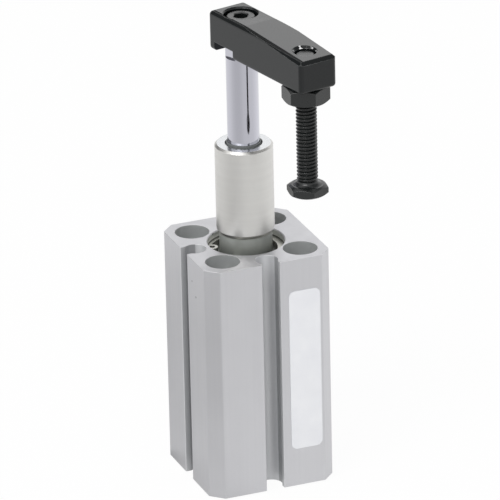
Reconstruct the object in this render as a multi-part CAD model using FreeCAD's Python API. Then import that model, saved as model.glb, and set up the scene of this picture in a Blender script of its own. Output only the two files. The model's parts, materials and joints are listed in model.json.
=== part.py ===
import FreeCAD, Part
import math
import os

from FreeCAD import Vector

# Swing clamp cylinder: a square pneumatic cylinder whose rod drops, turns a clamp arm a quarter turn by a
# cam groove and then pulls the arm straight down. Millimetres. The rod axis is +Z, the body stands on z = 0
# and its label face looks along -Y. The rod is modelled fully out, with the arm swung away from the work.

# Clearances
RUNNING = 0.05
SEATING = 0.05
STOP_GAP = 0.10
FREE = 0.30

# Strokes of the rod: the turning part first, then the straight clamping part
SWING_STROKE = 7.5
CLAMP_STROKE = 10.0
SWING_ANGLE = 90.0

# Bores and the stack along the rod axis, from the bottom face up
BORE_DIA = 12.0
SEAT_LEDGE = 1.2
REAR_LEDGE = 0.6
REAR_LIP = 0.9
RING_THICKNESS = 1.0
RING_GROOVE_DEPTH = 0.3
REAR_COVER_LENGTH = 3.3
REAR_BUMPER_LENGTH = 1.8
PISTON_REAR_LENGTH = 4.1
MAGNET_LENGTH = 1.8
PISTON_FRONT_LENGTH = 3.6
FRONT_BUMPER_SPACE = 2.0
FLANGE_LENGTH = 7.6
FRONT_LIP = 1.4
MOUTH_CHAMFER = 0.2

# Square body profile
HOLE_WALL = 0.21
COUNTERBORE_DIA = 6.5
COUNTERBORE_DEPTH = 3.5
HOLE_DIA = 3.5
HOLE_TO_FACE = 4.75
CORNER_CHAMFER = 2.4
CORNER_SOFTENING = 0.5
GROOVE_POCKET_DIA = 4.3
GROOVE_POCKET_INSET = 2.3
GROOVE_MOUTH = 3.5
GROOVE_LIP_ROUND = 0.15
GROOVE_HEADINGS = (-90.0, 0.0)

# Air ports in the back face
PORT_TAP_DIA = 4.2
PORT_DEPTH = 4.5
PORT_PASSAGE_DIA = 1.6

# Rod cover with its guiding neck
NECK_DIA = 10.9
NECK_HEIGHT = 19.7
NECK_TOP_CHAMFER = 0.4
NECK_LOWER_ROUND = 0.7
UNDERCUT_DIA = 9.9
UNDERCUT_RISE = 2.2
COVER_SEAL_DEPTH = 0.9
COVER_SEAL_WIDTH = 1.7
COVER_SEAL_RISE = 1.2
BUSH_WALL = 0.95
BUSH_LENGTH = 9.0
PACKING_DEPTH = 1.35
PACKING_LENGTH = 2.5
WIPER_WALL = 0.45
WIPER_LENGTH = 1.3
WIPER_TAPER = 0.2
WIPER_RISE = 0.4
PIN_DIA = 2.0
PIN_RISE = 4.4
PIN_HEADINGS = (0.0, 180.0)

# Rear cover seal
REAR_SEAL_DEPTH = 0.8
REAR_SEAL_WIDTH = 1.4
REAR_SEAL_RISE = 1.3

# Retaining rings
RING_WIDE = 1.6
RING_NARROW = 0.7
RING_LUG_DIA = 2.1
RING_LUG_HOLE = 1.0
RING_LUG_INSET = 1.15
RING_LUG_SPREAD = 35.0
FRONT_RING_GAP_HEADING = 190.0
REAR_RING_GAP_HEADING = -90.0

# Piston
PISTON_RING_DEPTH = 1.0
WEAR_RING_WIDTH = 1.8
PISTON_SEAL_WIDTH = 2.0
SEAL_LIP_CHAMFER = 0.3
WEAR_RING_CHAMFER = 0.15
MAGNET_RECESS = 0.5
SPIGOT_DIA = 4.0
SPIGOT_SEAL_DEPTH = 0.8
PISTON_SCREW_DIA = 2.5
PISTON_SCREW_HEAD_DIA = 4.6
PISTON_SCREW_HEAD = 1.6
PISTON_SCREW_LENGTH = 6.0
PISTON_SCREW_SOCKET = 1.5
BUMPER_HOLE_MARGIN = 0.4

# Rod with its cam grooves
ROD_DIA = 6.0
CAM_DEPTH = 0.9
CAM_END_RELIEF = 0.1
FLATS_ACROSS = 5.0
FLATS_BELOW_ARM = 0.95

# Clamp arm
ARM_CLEARANCE = 0.65
ARM_HEADING = 12.3
ARM_WIDTH = 8.0
ARM_REAR = 4.85
ARM_BOLT_REACH = 20.8
ARM_TIP_MARGIN = 4.3
ARM_BEND = 6.0
ARM_REAR_HEIGHT = 7.45
ARM_TIP_HEIGHT = 6.2
ARM_ROUND = 0.8
ARM_FOOT_ROUND = 0.7
ARM_TOP_ROUND = 0.75
ARM_TIP_CHAMFER = 0.6
ARM_SLOT_DEPTH = 1.75
TAP_COUNTERSINK = 0.3

# Arm screw
ARM_SCREW_DIA = 3.0
ARM_SCREW_HEAD_DIA = 5.5
ARM_SCREW_HEAD = 3.0
ARM_SCREW_SUNK = 0.45
ARM_SCREW_REACH = 8.0
ARM_SCREW_SOCKET = 2.5
ARM_SCREW_SOCKET_DEPTH = 1.5
ARM_COUNTERBORE_MARGIN = 0.4
ARM_COUNTERBORE_CHAMFER = 0.25

# Clamp bolt and its lock nut
BOLT_DIA = 3.9
BOLT_HEAD_ACROSS = 6.8
BOLT_HEAD = 2.0
BOLT_LENGTH = 25.45
BOLT_HEAD_DROP = 19.5
BOLT_HEAD_TURN = 13.5
NUT_ACROSS = 7.8
NUT_HEIGHT = 3.15
NUT_TURN = 18.4
HEX_CHAMFER = 0.35

# Label
LABEL_WIDTH = 6.3
LABEL_LOW = 7.5
LABEL_HEIGHT = 32.2
LABEL_INSET = 0.45
LABEL_ROUND = 1.2
LABEL_THICKNESS = 0.1

# Levels that follow from the stack
STROKE = SWING_STROKE + CLAMP_STROKE
Z_REAR_COVER = REAR_LIP + RING_THICKNESS
Z_REAR_SEAT = Z_REAR_COVER + REAR_COVER_LENGTH
Z_STOP = Z_REAR_SEAT + REAR_BUMPER_LENGTH
Z_PISTON = Z_STOP + STROKE
Z_MAGNET = Z_PISTON + PISTON_REAR_LENGTH
Z_PISTON_FRONT = Z_MAGNET + MAGNET_LENGTH
Z_PISTON_TOP = Z_PISTON_FRONT + PISTON_FRONT_LENGTH
Z_COVER_SEAT = Z_PISTON_TOP + FRONT_BUMPER_SPACE
Z_FLANGE_TOP = Z_COVER_SEAT + FLANGE_LENGTH
Z_RING_TOP = Z_FLANGE_TOP + RING_THICKNESS
Z_TOP = Z_RING_TOP + FRONT_LIP
Z_NECK_TOP = Z_TOP + NECK_HEIGHT
Z_PACKING_TOP = Z_NECK_TOP - WIPER_LENGTH
Z_BUSH_TOP = Z_PACKING_TOP - PACKING_LENGTH
Z_PIN = Z_COVER_SEAT + PIN_RISE
Z_ARM = Z_NECK_TOP + STROKE + ARM_CLEARANCE
Z_ARM_TOP = Z_ARM + ARM_REAR_HEIGHT
Z_ROD_TOP = Z_ARM + ARM_SLOT_DEPTH
Z_SCREW_SEAT = Z_ARM_TOP - ARM_SCREW_SUNK - ARM_SCREW_HEAD
Z_BOLT_HEAD = Z_ARM - BOLT_HEAD_DROP

# Arm's end and slope that follow from its heights
ARM_TIP = ARM_BOLT_REACH + ARM_TIP_MARGIN
ARM_FALL = (ARM_REAR_HEIGHT - ARM_TIP_HEIGHT) / (ARM_TIP - ARM_BEND)

# Radii that follow from the fits
BORE_R = BORE_DIA / 2
MOUTH_R = BORE_R + SEAT_LEDGE
REAR_MOUTH_R = BORE_R + REAR_LEDGE
ROD_R = ROD_DIA / 2
BUSH_R = ROD_R + RUNNING + BUSH_WALL
PACKING_R = ROD_R + RUNNING + PACKING_DEPTH
WIPER_R = ROD_R + RUNNING + WIPER_WALL
PISTON_R = BORE_R - FREE
PISTON_RING_R = BORE_R - RUNNING
SPIGOT_R = SPIGOT_DIA / 2
COUNTERBORE_R = COUNTERBORE_DIA / 2
BOLT_HOLE_R = BOLT_DIA / 2 + RUNNING

# Body plan that follows from the bore and the corner holes
HOLE_PITCH = math.sqrt(2) * (MOUTH_R + RING_GROOVE_DEPTH + HOLE_WALL + COUNTERBORE_R)
BODY_SIDE = HOLE_PITCH + 2 * HOLE_TO_FACE
HALF_SIDE = BODY_SIDE / 2

AXIS = Vector(0, 0, 1)
ACROSS = Vector(0, 1, 0)
ORIGIN = Vector(0, 0, 0)
PARALLEL_ANGLE = 2.0


def disc(radius, low, high, x=0.0, y=0.0):
    """Upright cylinder between two levels."""
    return Part.makeCylinder(radius, high - low, Vector(x, y, low))


def ring(outer, inner, low, high):
    """Upright tube between two levels."""
    return disc(outer, low, high).cut(disc(inner, low, high))


def broken_rim(radius, size, level, x, y):
    """Cutter that chamfers the rim of an upright hole in a face at the given level."""
    return Part.makeCone(radius, radius + 2 * size, 2 * size, Vector(x, y, level - size))


def block(x_size, y_low, y_high, z_low, z_high):
    """Box centred on x = 0."""
    return Part.makeBox(x_size, y_high - y_low, z_high - z_low, Vector(-x_size / 2, y_low, z_low))


def prism(points, push):
    """Solid from a flat polygon pushed along a vector."""
    return Part.Face(Part.makePolygon(points + points[:1])).extrude(push)


def turned(profile):
    """Solid of revolution about Z from (radius, level) points."""
    points = [Vector(radius, 0, level) for radius, level in profile]
    face = Part.Face(Part.makePolygon(points + points[:1]))
    return face.revolve(ORIGIN, AXIS, 360)


def squeezed_ring(inner, outer, level):
    """O-ring in its gland, pressed flat where it seals against the two radii."""
    middle = (outer + inner) / 2
    half = (outer - inner - RUNNING) / 2
    flat = half / 2
    return turned([
        (middle - half, level - flat), (middle, level - half), (middle + half, level - flat),
        (middle + half, level + flat), (middle, level + half), (middle - half, level + flat),
    ])


def hexagon(across, low, high, turn):
    """Hexagonal prism, first corner at the given angle."""
    corner = across / math.sqrt(3)
    angles = [math.radians(turn + 60 * step) for step in range(6)]
    points = [Vector(corner * math.cos(angle), corner * math.sin(angle), low) for angle in angles]
    return prism(points, AXIS * (high - low))


def chamfered_hexagon(across, low, high, turn):
    """Hexagonal prism whose corners are turned off at both ends."""
    corner = across / math.sqrt(3)
    flat = across / 2
    limit = turned([(0, low), (flat, low), (corner, low + HEX_CHAMFER), (corner, high - HEX_CHAMFER),
                    (flat, high), (0, high)])
    return hexagon(across, low, high, turn).common(limit)


def radial_pin(diameter, inner, outer, level, heading):
    """Cylinder that points out from the rod axis."""
    pin = Part.makeCylinder(diameter / 2, outer - inner, Vector(inner, 0, level), Vector(1, 0, 0))
    return rotated(pin, heading)


def rotated(shape, degrees):
    """Copy turned about the rod axis."""
    copy = shape.copy()
    copy.rotate(ORIGIN, AXIS, degrees)
    return copy


def edges_along(shape, direction):
    """Straight edges that run along a direction."""
    limit = math.cos(math.radians(PARALLEL_ANGLE))
    return [edge for edge in shape.Edges if abs(edge.tangentAt(edge.FirstParameter).dot(direction)) > limit]


def sensor_groove():
    """Round-bottomed slot with rounded lips for a position sensor, in the face towards -Y."""
    outside = -HALF_SIDE - FREE
    centre = -HALF_SIDE + GROOVE_POCKET_INSET
    lip_x = GROOVE_MOUTH / 2 + GROOVE_LIP_ROUND
    lip_y = -HALF_SIDE + GROOVE_LIP_ROUND
    pocket = disc(GROOVE_POCKET_DIA / 2, 0, Z_TOP, 0, centre)
    lips = [disc(GROOVE_LIP_ROUND, 0, Z_TOP, x, lip_y) for x in (-lip_x, lip_x)]
    flare = block(2 * lip_x, outside, lip_y, 0, Z_TOP).cut(lips)
    return pocket.fuse([block(GROOVE_MOUTH, outside, centre, 0, Z_TOP), flare])


def corner_hole(x, y):
    """Mounting hole through the body with a counterbore for a cap screw at the top."""
    hole = disc(HOLE_DIA / 2, 0, Z_TOP, x, y)
    return hole.fuse(disc(COUNTERBORE_R, Z_TOP - COUNTERBORE_DEPTH, Z_TOP, x, y))


def air_port(level):
    """Tapped port in the back face with its drilling to the bore."""
    inward = Vector(0, -1, 0)
    tap = Part.makeCylinder(PORT_TAP_DIA / 2, PORT_DEPTH, Vector(0, HALF_SIDE, level), inward)
    passage = Part.makeCylinder(PORT_PASSAGE_DIA / 2, HALF_SIDE, Vector(0, HALF_SIDE, level), inward)
    return tap.fuse(passage)


def stepped_bore():
    """Everything that is bored out of the body from its two ends."""
    front_groove = MOUTH_R + RING_GROOVE_DEPTH
    rear_groove = REAR_MOUTH_R + RING_GROOVE_DEPTH
    profile = [
        (0, 0), (REAR_MOUTH_R, 0), (REAR_MOUTH_R, REAR_LIP - STOP_GAP / 2),
        (rear_groove, REAR_LIP - STOP_GAP / 2), (rear_groove, Z_REAR_COVER), (REAR_MOUTH_R, Z_REAR_COVER),
        (REAR_MOUTH_R, Z_REAR_SEAT), (BORE_R, Z_REAR_SEAT), (BORE_R, Z_COVER_SEAT), (MOUTH_R, Z_COVER_SEAT),
        (MOUTH_R, Z_FLANGE_TOP), (front_groove, Z_FLANGE_TOP), (front_groove, Z_RING_TOP + STOP_GAP / 2),
        (MOUTH_R, Z_RING_TOP + STOP_GAP / 2), (MOUTH_R, Z_TOP - MOUTH_CHAMFER),
        (MOUTH_R + MOUTH_CHAMFER, Z_TOP), (0, Z_TOP),
    ]
    return turned(profile)


def cylinder_body():
    """Extruded square body with bores, corner holes, sensor grooves and ports."""
    body = block(BODY_SIDE, -HALF_SIDE, HALF_SIDE, 0, Z_TOP)
    body = body.makeChamfer(CORNER_CHAMFER, edges_along(body, AXIS))
    body = body.makeFillet(CORNER_SOFTENING, edges_along(body, AXIS))
    half_pitch = HOLE_PITCH / 2
    cuts = [corner_hole(x, y) for x in (-half_pitch, half_pitch) for y in (-half_pitch, half_pitch)]
    cuts += [rotated(sensor_groove(), heading) for heading in GROOVE_HEADINGS]
    cuts += [air_port(Z_STOP - REAR_BUMPER_LENGTH / 2), air_port(Z_COVER_SEAT - FRONT_BUMPER_SPACE / 2)]
    cuts.append(stepped_bore())
    return body.cut(cuts)


def retaining_ring(groove_radius, low, gap_heading):
    """Internal circlip: widest opposite its gap, with a pierced lug at each end."""
    outer = groove_radius - SEATING
    inner = outer - (RING_WIDE + RING_NARROW) / 2
    offset = (RING_WIDE - RING_NARROW) / 2
    high = low + RING_THICKNESS
    lug_radius = outer - RING_LUG_INSET
    spread = math.radians(RING_LUG_SPREAD)
    lug_places = [(lug_radius * math.cos(turn), lug_radius * math.sin(turn)) for turn in (-spread, spread)]
    band = disc(outer, low, high).cut(disc(inner, low, high, offset, 0))
    reach = 2 * outer
    gap_points = [ORIGIN]
    for side in (-spread, spread):
        gap_points.append(Vector(reach * math.cos(side), reach * math.sin(side), 0))
    gap = prism(gap_points, AXIS * RING_THICKNESS)
    gap.translate(Vector(0, 0, low))
    lugs = [disc(RING_LUG_DIA / 2, low, high, x, y) for x, y in lug_places]
    holes = [disc(RING_LUG_HOLE / 2, low, high, x, y) for x, y in lug_places]
    clip = band.cut(gap).fuse(lugs).common(disc(outer, low, high)).cut(holes)
    return rotated(clip.removeSplitter(), gap_heading)


def rod_cover():
    """Front cover: flange in the body, undercut shank and neck, bored for the bush and the packing."""
    flange_r = MOUTH_R - SEATING
    gland_r = MOUTH_R - COVER_SEAL_DEPTH
    gland_low = Z_COVER_SEAT + COVER_SEAL_RISE
    gland_high = gland_low + COVER_SEAL_WIDTH
    neck_r = NECK_DIA / 2
    shank_r = UNDERCUT_DIA / 2
    z_neck = Z_TOP + UNDERCUT_RISE
    z_round = z_neck + NECK_LOWER_ROUND
    profile = [
        (BUSH_R, Z_COVER_SEAT), (flange_r, Z_COVER_SEAT), (flange_r, gland_low), (gland_r, gland_low),
        (gland_r, gland_high), (flange_r, gland_high), (flange_r, Z_FLANGE_TOP), (shank_r, Z_FLANGE_TOP),
        (shank_r, z_neck), (neck_r - NECK_LOWER_ROUND / 2, z_neck), (neck_r, z_round),
        (neck_r, Z_NECK_TOP - NECK_TOP_CHAMFER), (neck_r - NECK_TOP_CHAMFER, Z_NECK_TOP),
        (WIPER_R, Z_NECK_TOP), (WIPER_R, Z_PACKING_TOP), (PACKING_R, Z_PACKING_TOP), (PACKING_R, Z_BUSH_TOP),
        (BUSH_R, Z_BUSH_TOP),
    ]
    pin_holes = [radial_pin(PIN_DIA, 0, MOUTH_R, Z_PIN, heading) for heading in PIN_HEADINGS]
    return turned(profile).cut(pin_holes)


def guide_pins():
    """Two radial pins that face the cam grooves and stop just clear of the rod."""
    outer = math.sqrt((MOUTH_R - SEATING) ** 2 - (PIN_DIA / 2) ** 2)
    pins = [radial_pin(PIN_DIA, ROD_R + RUNNING, outer, Z_PIN, heading) for heading in PIN_HEADINGS]
    return Part.makeCompound(pins)


def rod_packing():
    """Rod seal in its gland, with a tapered wiper lip that stands a little proud of the neck's top."""
    inner = ROD_R + RUNNING
    outer = PACKING_R - SEATING
    lip = WIPER_R - SEATING
    rise = Z_NECK_TOP + WIPER_RISE
    return turned([
        (inner, Z_BUSH_TOP + SEATING), (outer, Z_BUSH_TOP + SEATING), (outer, Z_PACKING_TOP - SEATING),
        (lip, Z_PACKING_TOP - SEATING), (lip, Z_NECK_TOP - WIPER_WALL), (lip - WIPER_TAPER, Z_NECK_TOP),
        (lip - WIPER_TAPER, rise - WIPER_TAPER / 2), (inner, rise),
    ])


def rear_cover():
    """Plug that closes the bore from below, with a gland for its seal."""
    radius = REAR_MOUTH_R - SEATING
    gland_r = REAR_MOUTH_R - REAR_SEAL_DEPTH
    gland_low = Z_REAR_COVER + REAR_SEAL_RISE
    gland_high = gland_low + REAR_SEAL_WIDTH
    return turned([
        (0, Z_REAR_COVER), (radius, Z_REAR_COVER), (radius, gland_low), (gland_r, gland_low),
        (gland_r, gland_high), (radius, gland_high), (radius, Z_REAR_SEAT), (0, Z_REAR_SEAT),
    ])


def bumper_ring(inner, low, high):
    """Elastic stop ring, clear of the bore so that air passes round it."""
    return ring(BORE_R - 2 * FREE, inner, low, high)


def piston_half(low, high, groove_width, recess_r, recess_depth):
    """Half of the piston with one ring groove, bored for the spigot and recessed from below."""
    groove_r = PISTON_R - PISTON_RING_DEPTH
    groove_low = (low + high - groove_width) / 2
    groove_high = groove_low + groove_width
    half = disc(PISTON_R, low, high)
    half = half.cut(ring(PISTON_R, groove_r, groove_low, groove_high))
    half = half.cut(disc(SPIGOT_R + RUNNING, low, high))
    return half.cut(disc(recess_r, low, low + recess_depth))


def piston_ring(low, high, groove_width, lip_chamfer):
    """Seal or wear ring in the middle of a piston half, a running fit in the bore."""
    inner = PISTON_R - PISTON_RING_DEPTH + FREE
    groove_low = (low + high - groove_width) / 2 + STOP_GAP
    groove_high = (low + high + groove_width) / 2 - STOP_GAP
    return turned([
        (inner, groove_low), (PISTON_RING_R - lip_chamfer, groove_low),
        (PISTON_RING_R, groove_low + lip_chamfer), (PISTON_RING_R, groove_high - lip_chamfer),
        (PISTON_RING_R - lip_chamfer, groove_high), (inner, groove_high),
    ])


def socket_screw(dia, head_dia, head, length, socket, socket_depth, seat):
    """Cap screw with its head above the seat and its shank below."""
    screw = disc(head_dia / 2, seat, seat + head).fuse(disc(dia / 2, seat - length, seat))
    screw = screw.cut(hexagon(socket, seat + head - socket_depth, seat + head, 0))
    return screw.removeSplitter()


def cam_groove(heading):
    """J-shaped track of a guide pin: a left-hand quarter turn up the rod, then straight, with eased ends."""
    width = PIN_DIA + 2 * RUNNING
    core_r = ROD_R - CAM_DEPTH
    deep = core_r / 2
    brim = ROD_R + CAM_DEPTH
    pitch = SWING_STROKE * 360 / SWING_ANGLE
    path = Part.Wire(Part.makeHelix(pitch, SWING_STROKE, ROD_R, 0, True).Edges)
    lead = math.atan2(pitch, 2 * math.pi * ROD_R)
    along = Vector(0, math.sin(lead) * width / 2, math.cos(lead) * width / 2)
    corners = [Vector(deep, 0, 0) + along, Vector(brim, 0, 0) + along,
               Vector(brim, 0, 0) - along, Vector(deep, 0, 0) - along]
    section = Part.makePolygon(corners + corners[:1])
    turn = path.makePipeShell([section], True, True)
    turn.translate(Vector(0, 0, Z_PIN))
    z_bend = Z_PIN + SWING_STROKE
    straight = Part.makeBox(brim - deep, width, CLAMP_STROKE, Vector(deep, -width / 2, z_bend))
    straight.rotate(ORIGIN, AXIS, -SWING_ANGLE)
    relief = width + 2 * CAM_END_RELIEF
    stops = [(Z_PIN, 0), (z_bend, -SWING_ANGLE), (z_bend + CLAMP_STROKE, -SWING_ANGLE)]
    ends = [radial_pin(relief, deep, brim, level, turn_angle) for level, turn_angle in stops]
    core = disc(core_r, Z_PIN - PIN_DIA, z_bend + CLAMP_STROKE + PIN_DIA)
    return rotated(turn.fuse([straight] + ends).cut(core), heading)


def piston_rod():
    """Rod with the piston's spigot, two cam grooves, spanner flats and a tapped hole at each end."""
    spigot_low = Z_PISTON + PISTON_SCREW_HEAD + STOP_GAP
    rod = disc(ROD_R, Z_PISTON_TOP, Z_ROD_TOP).fuse(disc(SPIGOT_R, spigot_low, Z_PISTON_TOP))
    cuts = [cam_groove(heading) for heading in PIN_HEADINGS]
    z_flats = Z_ARM - FLATS_BELOW_ARM
    flats = disc(ROD_DIA, z_flats, Z_ROD_TOP).cut(block(FLATS_ACROSS, -ROD_DIA, ROD_DIA, z_flats, Z_ROD_TOP))
    cuts.append(rotated(flats, ARM_HEADING))
    screw_end = Z_SCREW_SEAT - ARM_SCREW_REACH - FREE
    cuts.append(disc(ARM_SCREW_DIA / 2 + RUNNING, screw_end, Z_ROD_TOP))
    cuts.append(disc(PISTON_SCREW_DIA / 2 + RUNNING, spigot_low, spigot_low + PISTON_SCREW_LENGTH + FREE))
    return rod.cut(cuts)


def piston_screw():
    """Screw that pulls the piston halves onto the rod's spigot, head down."""
    seat = Z_PISTON + PISTON_SCREW_HEAD + STOP_GAP
    screw = socket_screw(PISTON_SCREW_DIA, PISTON_SCREW_HEAD_DIA, PISTON_SCREW_HEAD, PISTON_SCREW_LENGTH,
                         PISTON_SCREW_SOCKET, PISTON_SCREW_HEAD / 2, 0)
    screw.rotate(ORIGIN, Vector(1, 0, 0), 180)
    screw.translate(Vector(0, 0, seat))
    return screw


def arm_bar():
    """Bar that the arm is cut from, rounded all round, with its tip towards -Y."""
    bar = block(ARM_WIDTH, -ARM_TIP, ARM_REAR, Z_ARM, Z_ARM_TOP)
    bar = bar.makeFillet(ARM_ROUND, edges_along(bar, AXIS))
    foot = [edge for edge in bar.Edges if edge.BoundBox.ZMax < Z_ARM + SEATING]
    bar = bar.makeFillet(ARM_FOOT_ROUND, foot)
    brim = [edge for edge in bar.Edges if edge.BoundBox.ZMin > Z_ARM_TOP - SEATING]
    return bar.makeFillet(ARM_TOP_ROUND, brim)


def arm_slope():
    """Cutters that slope the arm's top to the tip and break the slope's edges, wider towards the tip."""
    half = ARM_WIDTH / 2
    over = Z_ARM_TOP + FREE
    z_tip = Z_ARM + ARM_TIP_HEIGHT
    beyond = ARM_TIP + FREE
    across = Vector(2 * ARM_WIDTH, 0, 0)
    slope = [(-ARM_BEND, Z_ARM_TOP), (-beyond, z_tip - ARM_FALL * FREE), (-beyond, over), (-ARM_BEND, over)]
    brow = [(-beyond, z_tip - ARM_TIP_CHAMFER - FREE),
            (2 * ARM_TIP_CHAMFER - ARM_TIP, z_tip + ARM_TIP_CHAMFER), (-beyond, z_tip + ARM_TIP_CHAMFER)]
    cuts = [prism([Vector(-ARM_WIDTH, y, z) for y, z in outline], across) for outline in (slope, brow)]
    reach = ARM_BEND + ARM_TOP_ROUND / 2 / ARM_FALL
    for side in (-1, 1):
        start = Vector(side * half, -reach, Z_ARM_TOP - ARM_TOP_ROUND / 2)
        ends = [Vector(side * half, -ARM_TIP, z_tip - ARM_TIP_CHAMFER),
                Vector(side * (half - ARM_TIP_CHAMFER), -ARM_TIP, z_tip)]
        longer = (beyond - reach) / (ARM_TIP - reach)
        corners = [start] + [start + (end - start) * longer for end in ends]
        cuts.append(prism(corners, Vector(side, 0, 1) * ARM_WIDTH))
    return cuts


def clamp_arm():
    """Arm that tapers to its tip, slotted across for the rod's end, counterbored and tapped."""
    slot_half = ROD_R + SEATING
    counterbore_r = ARM_SCREW_HEAD_DIA / 2 + ARM_COUNTERBORE_MARGIN
    z_tap = Z_ARM_TOP - ARM_FALL * (ARM_BOLT_REACH - ARM_BEND)
    holes = [
        block(2 * ARM_WIDTH, -slot_half, slot_half, Z_ARM - FREE, Z_ROD_TOP),
        disc(ARM_SCREW_DIA / 2 + SEATING, Z_ARM, Z_ARM_TOP),
        disc(counterbore_r, Z_SCREW_SEAT, Z_ARM_TOP + FREE),
        broken_rim(counterbore_r, ARM_COUNTERBORE_CHAMFER, Z_ARM_TOP, 0, 0),
        disc(BOLT_HOLE_R, Z_ARM - FREE, Z_ARM_TOP, 0, -ARM_BOLT_REACH),
        broken_rim(BOLT_HOLE_R, TAP_COUNTERSINK, z_tap, 0, -ARM_BOLT_REACH),
    ]
    return rotated(arm_bar().cut(arm_slope()).cut(holes), ARM_HEADING)


def on_bolt_axis(shape):
    """Moves a shape from the rod axis to the clamp bolt's axis."""
    shape.translate(Vector(0, -ARM_BOLT_REACH, 0))
    return rotated(shape, ARM_HEADING)


def clamp_bolt():
    """Hexagon bolt that hangs head down from the arm's tip and presses on the work."""
    head = chamfered_hexagon(BOLT_HEAD_ACROSS, Z_BOLT_HEAD - BOLT_HEAD, Z_BOLT_HEAD, BOLT_HEAD_TURN)
    shank = disc(BOLT_DIA / 2, Z_BOLT_HEAD, Z_BOLT_HEAD + BOLT_LENGTH)
    return on_bolt_axis(head.fuse(shank).removeSplitter())


def lock_nut():
    """Nut that locks the clamp bolt against the arm's underside."""
    nut = chamfered_hexagon(NUT_ACROSS, Z_ARM - NUT_HEIGHT, Z_ARM, NUT_TURN)
    return on_bolt_axis(nut.cut(disc(BOLT_HOLE_R, Z_ARM - NUT_HEIGHT, Z_ARM)))


def label():
    """Thin bare sticker with rounded corners beside the sensor groove."""
    right = HALF_SIDE - CORNER_CHAMFER - LABEL_INSET
    plate = Part.makeBox(LABEL_WIDTH, LABEL_THICKNESS, LABEL_HEIGHT,
                         Vector(right - LABEL_WIDTH, -HALF_SIDE - LABEL_THICKNESS, LABEL_LOW))
    return plate.makeFillet(LABEL_ROUND, edges_along(plate, ACROSS))


def build():
    """Makes every piece, by node name."""
    cover_gland = Z_COVER_SEAT + COVER_SEAL_RISE + COVER_SEAL_WIDTH / 2
    rear_gland = Z_REAR_COVER + REAR_SEAL_RISE + REAR_SEAL_WIDTH / 2
    front_groove = MOUTH_R + RING_GROOVE_DEPTH
    rear_groove = REAR_MOUTH_R + RING_GROOVE_DEPTH
    magnet_r = PISTON_R - MAGNET_RECESS
    head_r = PISTON_SCREW_HEAD_DIA / 2
    spigot_gland_r = SPIGOT_R + SPIGOT_SEAL_DEPTH
    return {
        "cylinder_body": cylinder_body(),
        "rod_cover": rod_cover(),
        "front_retaining_ring": retaining_ring(front_groove, Z_FLANGE_TOP, FRONT_RING_GAP_HEADING),
        "rod_cover_oring": squeezed_ring(MOUTH_R - COVER_SEAL_DEPTH, MOUTH_R, cover_gland),
        "rod_bush": ring(BUSH_R, ROD_R + RUNNING, Z_BUSH_TOP - BUSH_LENGTH, Z_BUSH_TOP),
        "rod_packing": rod_packing(),
        "guide_pins": guide_pins(),
        "rear_cover": rear_cover(),
        "rear_cover_oring": squeezed_ring(REAR_MOUTH_R - REAR_SEAL_DEPTH, REAR_MOUTH_R, rear_gland),
        "rear_retaining_ring": retaining_ring(rear_groove, REAR_LIP, REAR_RING_GAP_HEADING),
        "rear_bumper": bumper_ring(head_r + BUMPER_HOLE_MARGIN, Z_REAR_SEAT, Z_STOP - STOP_GAP),
        "label": label(),
        "front_bumper": bumper_ring(ROD_R + FREE, Z_PISTON_TOP + STOP_GAP, Z_COVER_SEAT - STOP_GAP),
        "piston_seal": piston_ring(Z_PISTON, Z_MAGNET, PISTON_SEAL_WIDTH, SEAL_LIP_CHAMFER),
        "wear_ring": piston_ring(Z_PISTON_FRONT, Z_PISTON_TOP, WEAR_RING_WIDTH, WEAR_RING_CHAMFER),
        "piston_rear": piston_half(Z_PISTON, Z_MAGNET, PISTON_SEAL_WIDTH, head_r + SEATING,
                                   PISTON_SCREW_HEAD + STOP_GAP),
        "piston_magnet": ring(magnet_r, SPIGOT_R + RUNNING, Z_MAGNET, Z_PISTON_FRONT),
        "piston_front": piston_half(Z_PISTON_FRONT, Z_PISTON_TOP, WEAR_RING_WIDTH, spigot_gland_r,
                                    SPIGOT_SEAL_DEPTH),
        "spigot_oring": squeezed_ring(SPIGOT_R, spigot_gland_r, Z_PISTON_FRONT + SPIGOT_SEAL_DEPTH / 2),
        "piston_screw": piston_screw(),
        "piston_rod": piston_rod(),
        "clamp_arm": clamp_arm(),
        "arm_screw": socket_screw(ARM_SCREW_DIA, ARM_SCREW_HEAD_DIA, ARM_SCREW_HEAD, ARM_SCREW_REACH,
                                  ARM_SCREW_SOCKET, ARM_SCREW_SOCKET_DEPTH, Z_SCREW_SEAT),
        "lock_nut": lock_nut(),
        "clamp_bolt": clamp_bolt(),
    }


os.makedirs("parts", exist_ok=True)
for node, shape in build().items():
    shape.exportStep(f"parts/{node}.step")
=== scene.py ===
"""Looks of a swing clamp cylinder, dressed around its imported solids.

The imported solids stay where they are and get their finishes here. The screw, the bolt and its nut are built new, with
thread, knurls and crowns, and stand for their plain solids. The air ports get threads. All sizes are in millimetres
and go to metres where a mesh is made.
"""

import json
import logging
import math
from dataclasses import dataclass, field
from enum import Enum
from typing import Any, Callable, ClassVar, Mapping, Sequence

import bmesh
import bpy
from mathutils import Matrix, Vector

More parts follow.
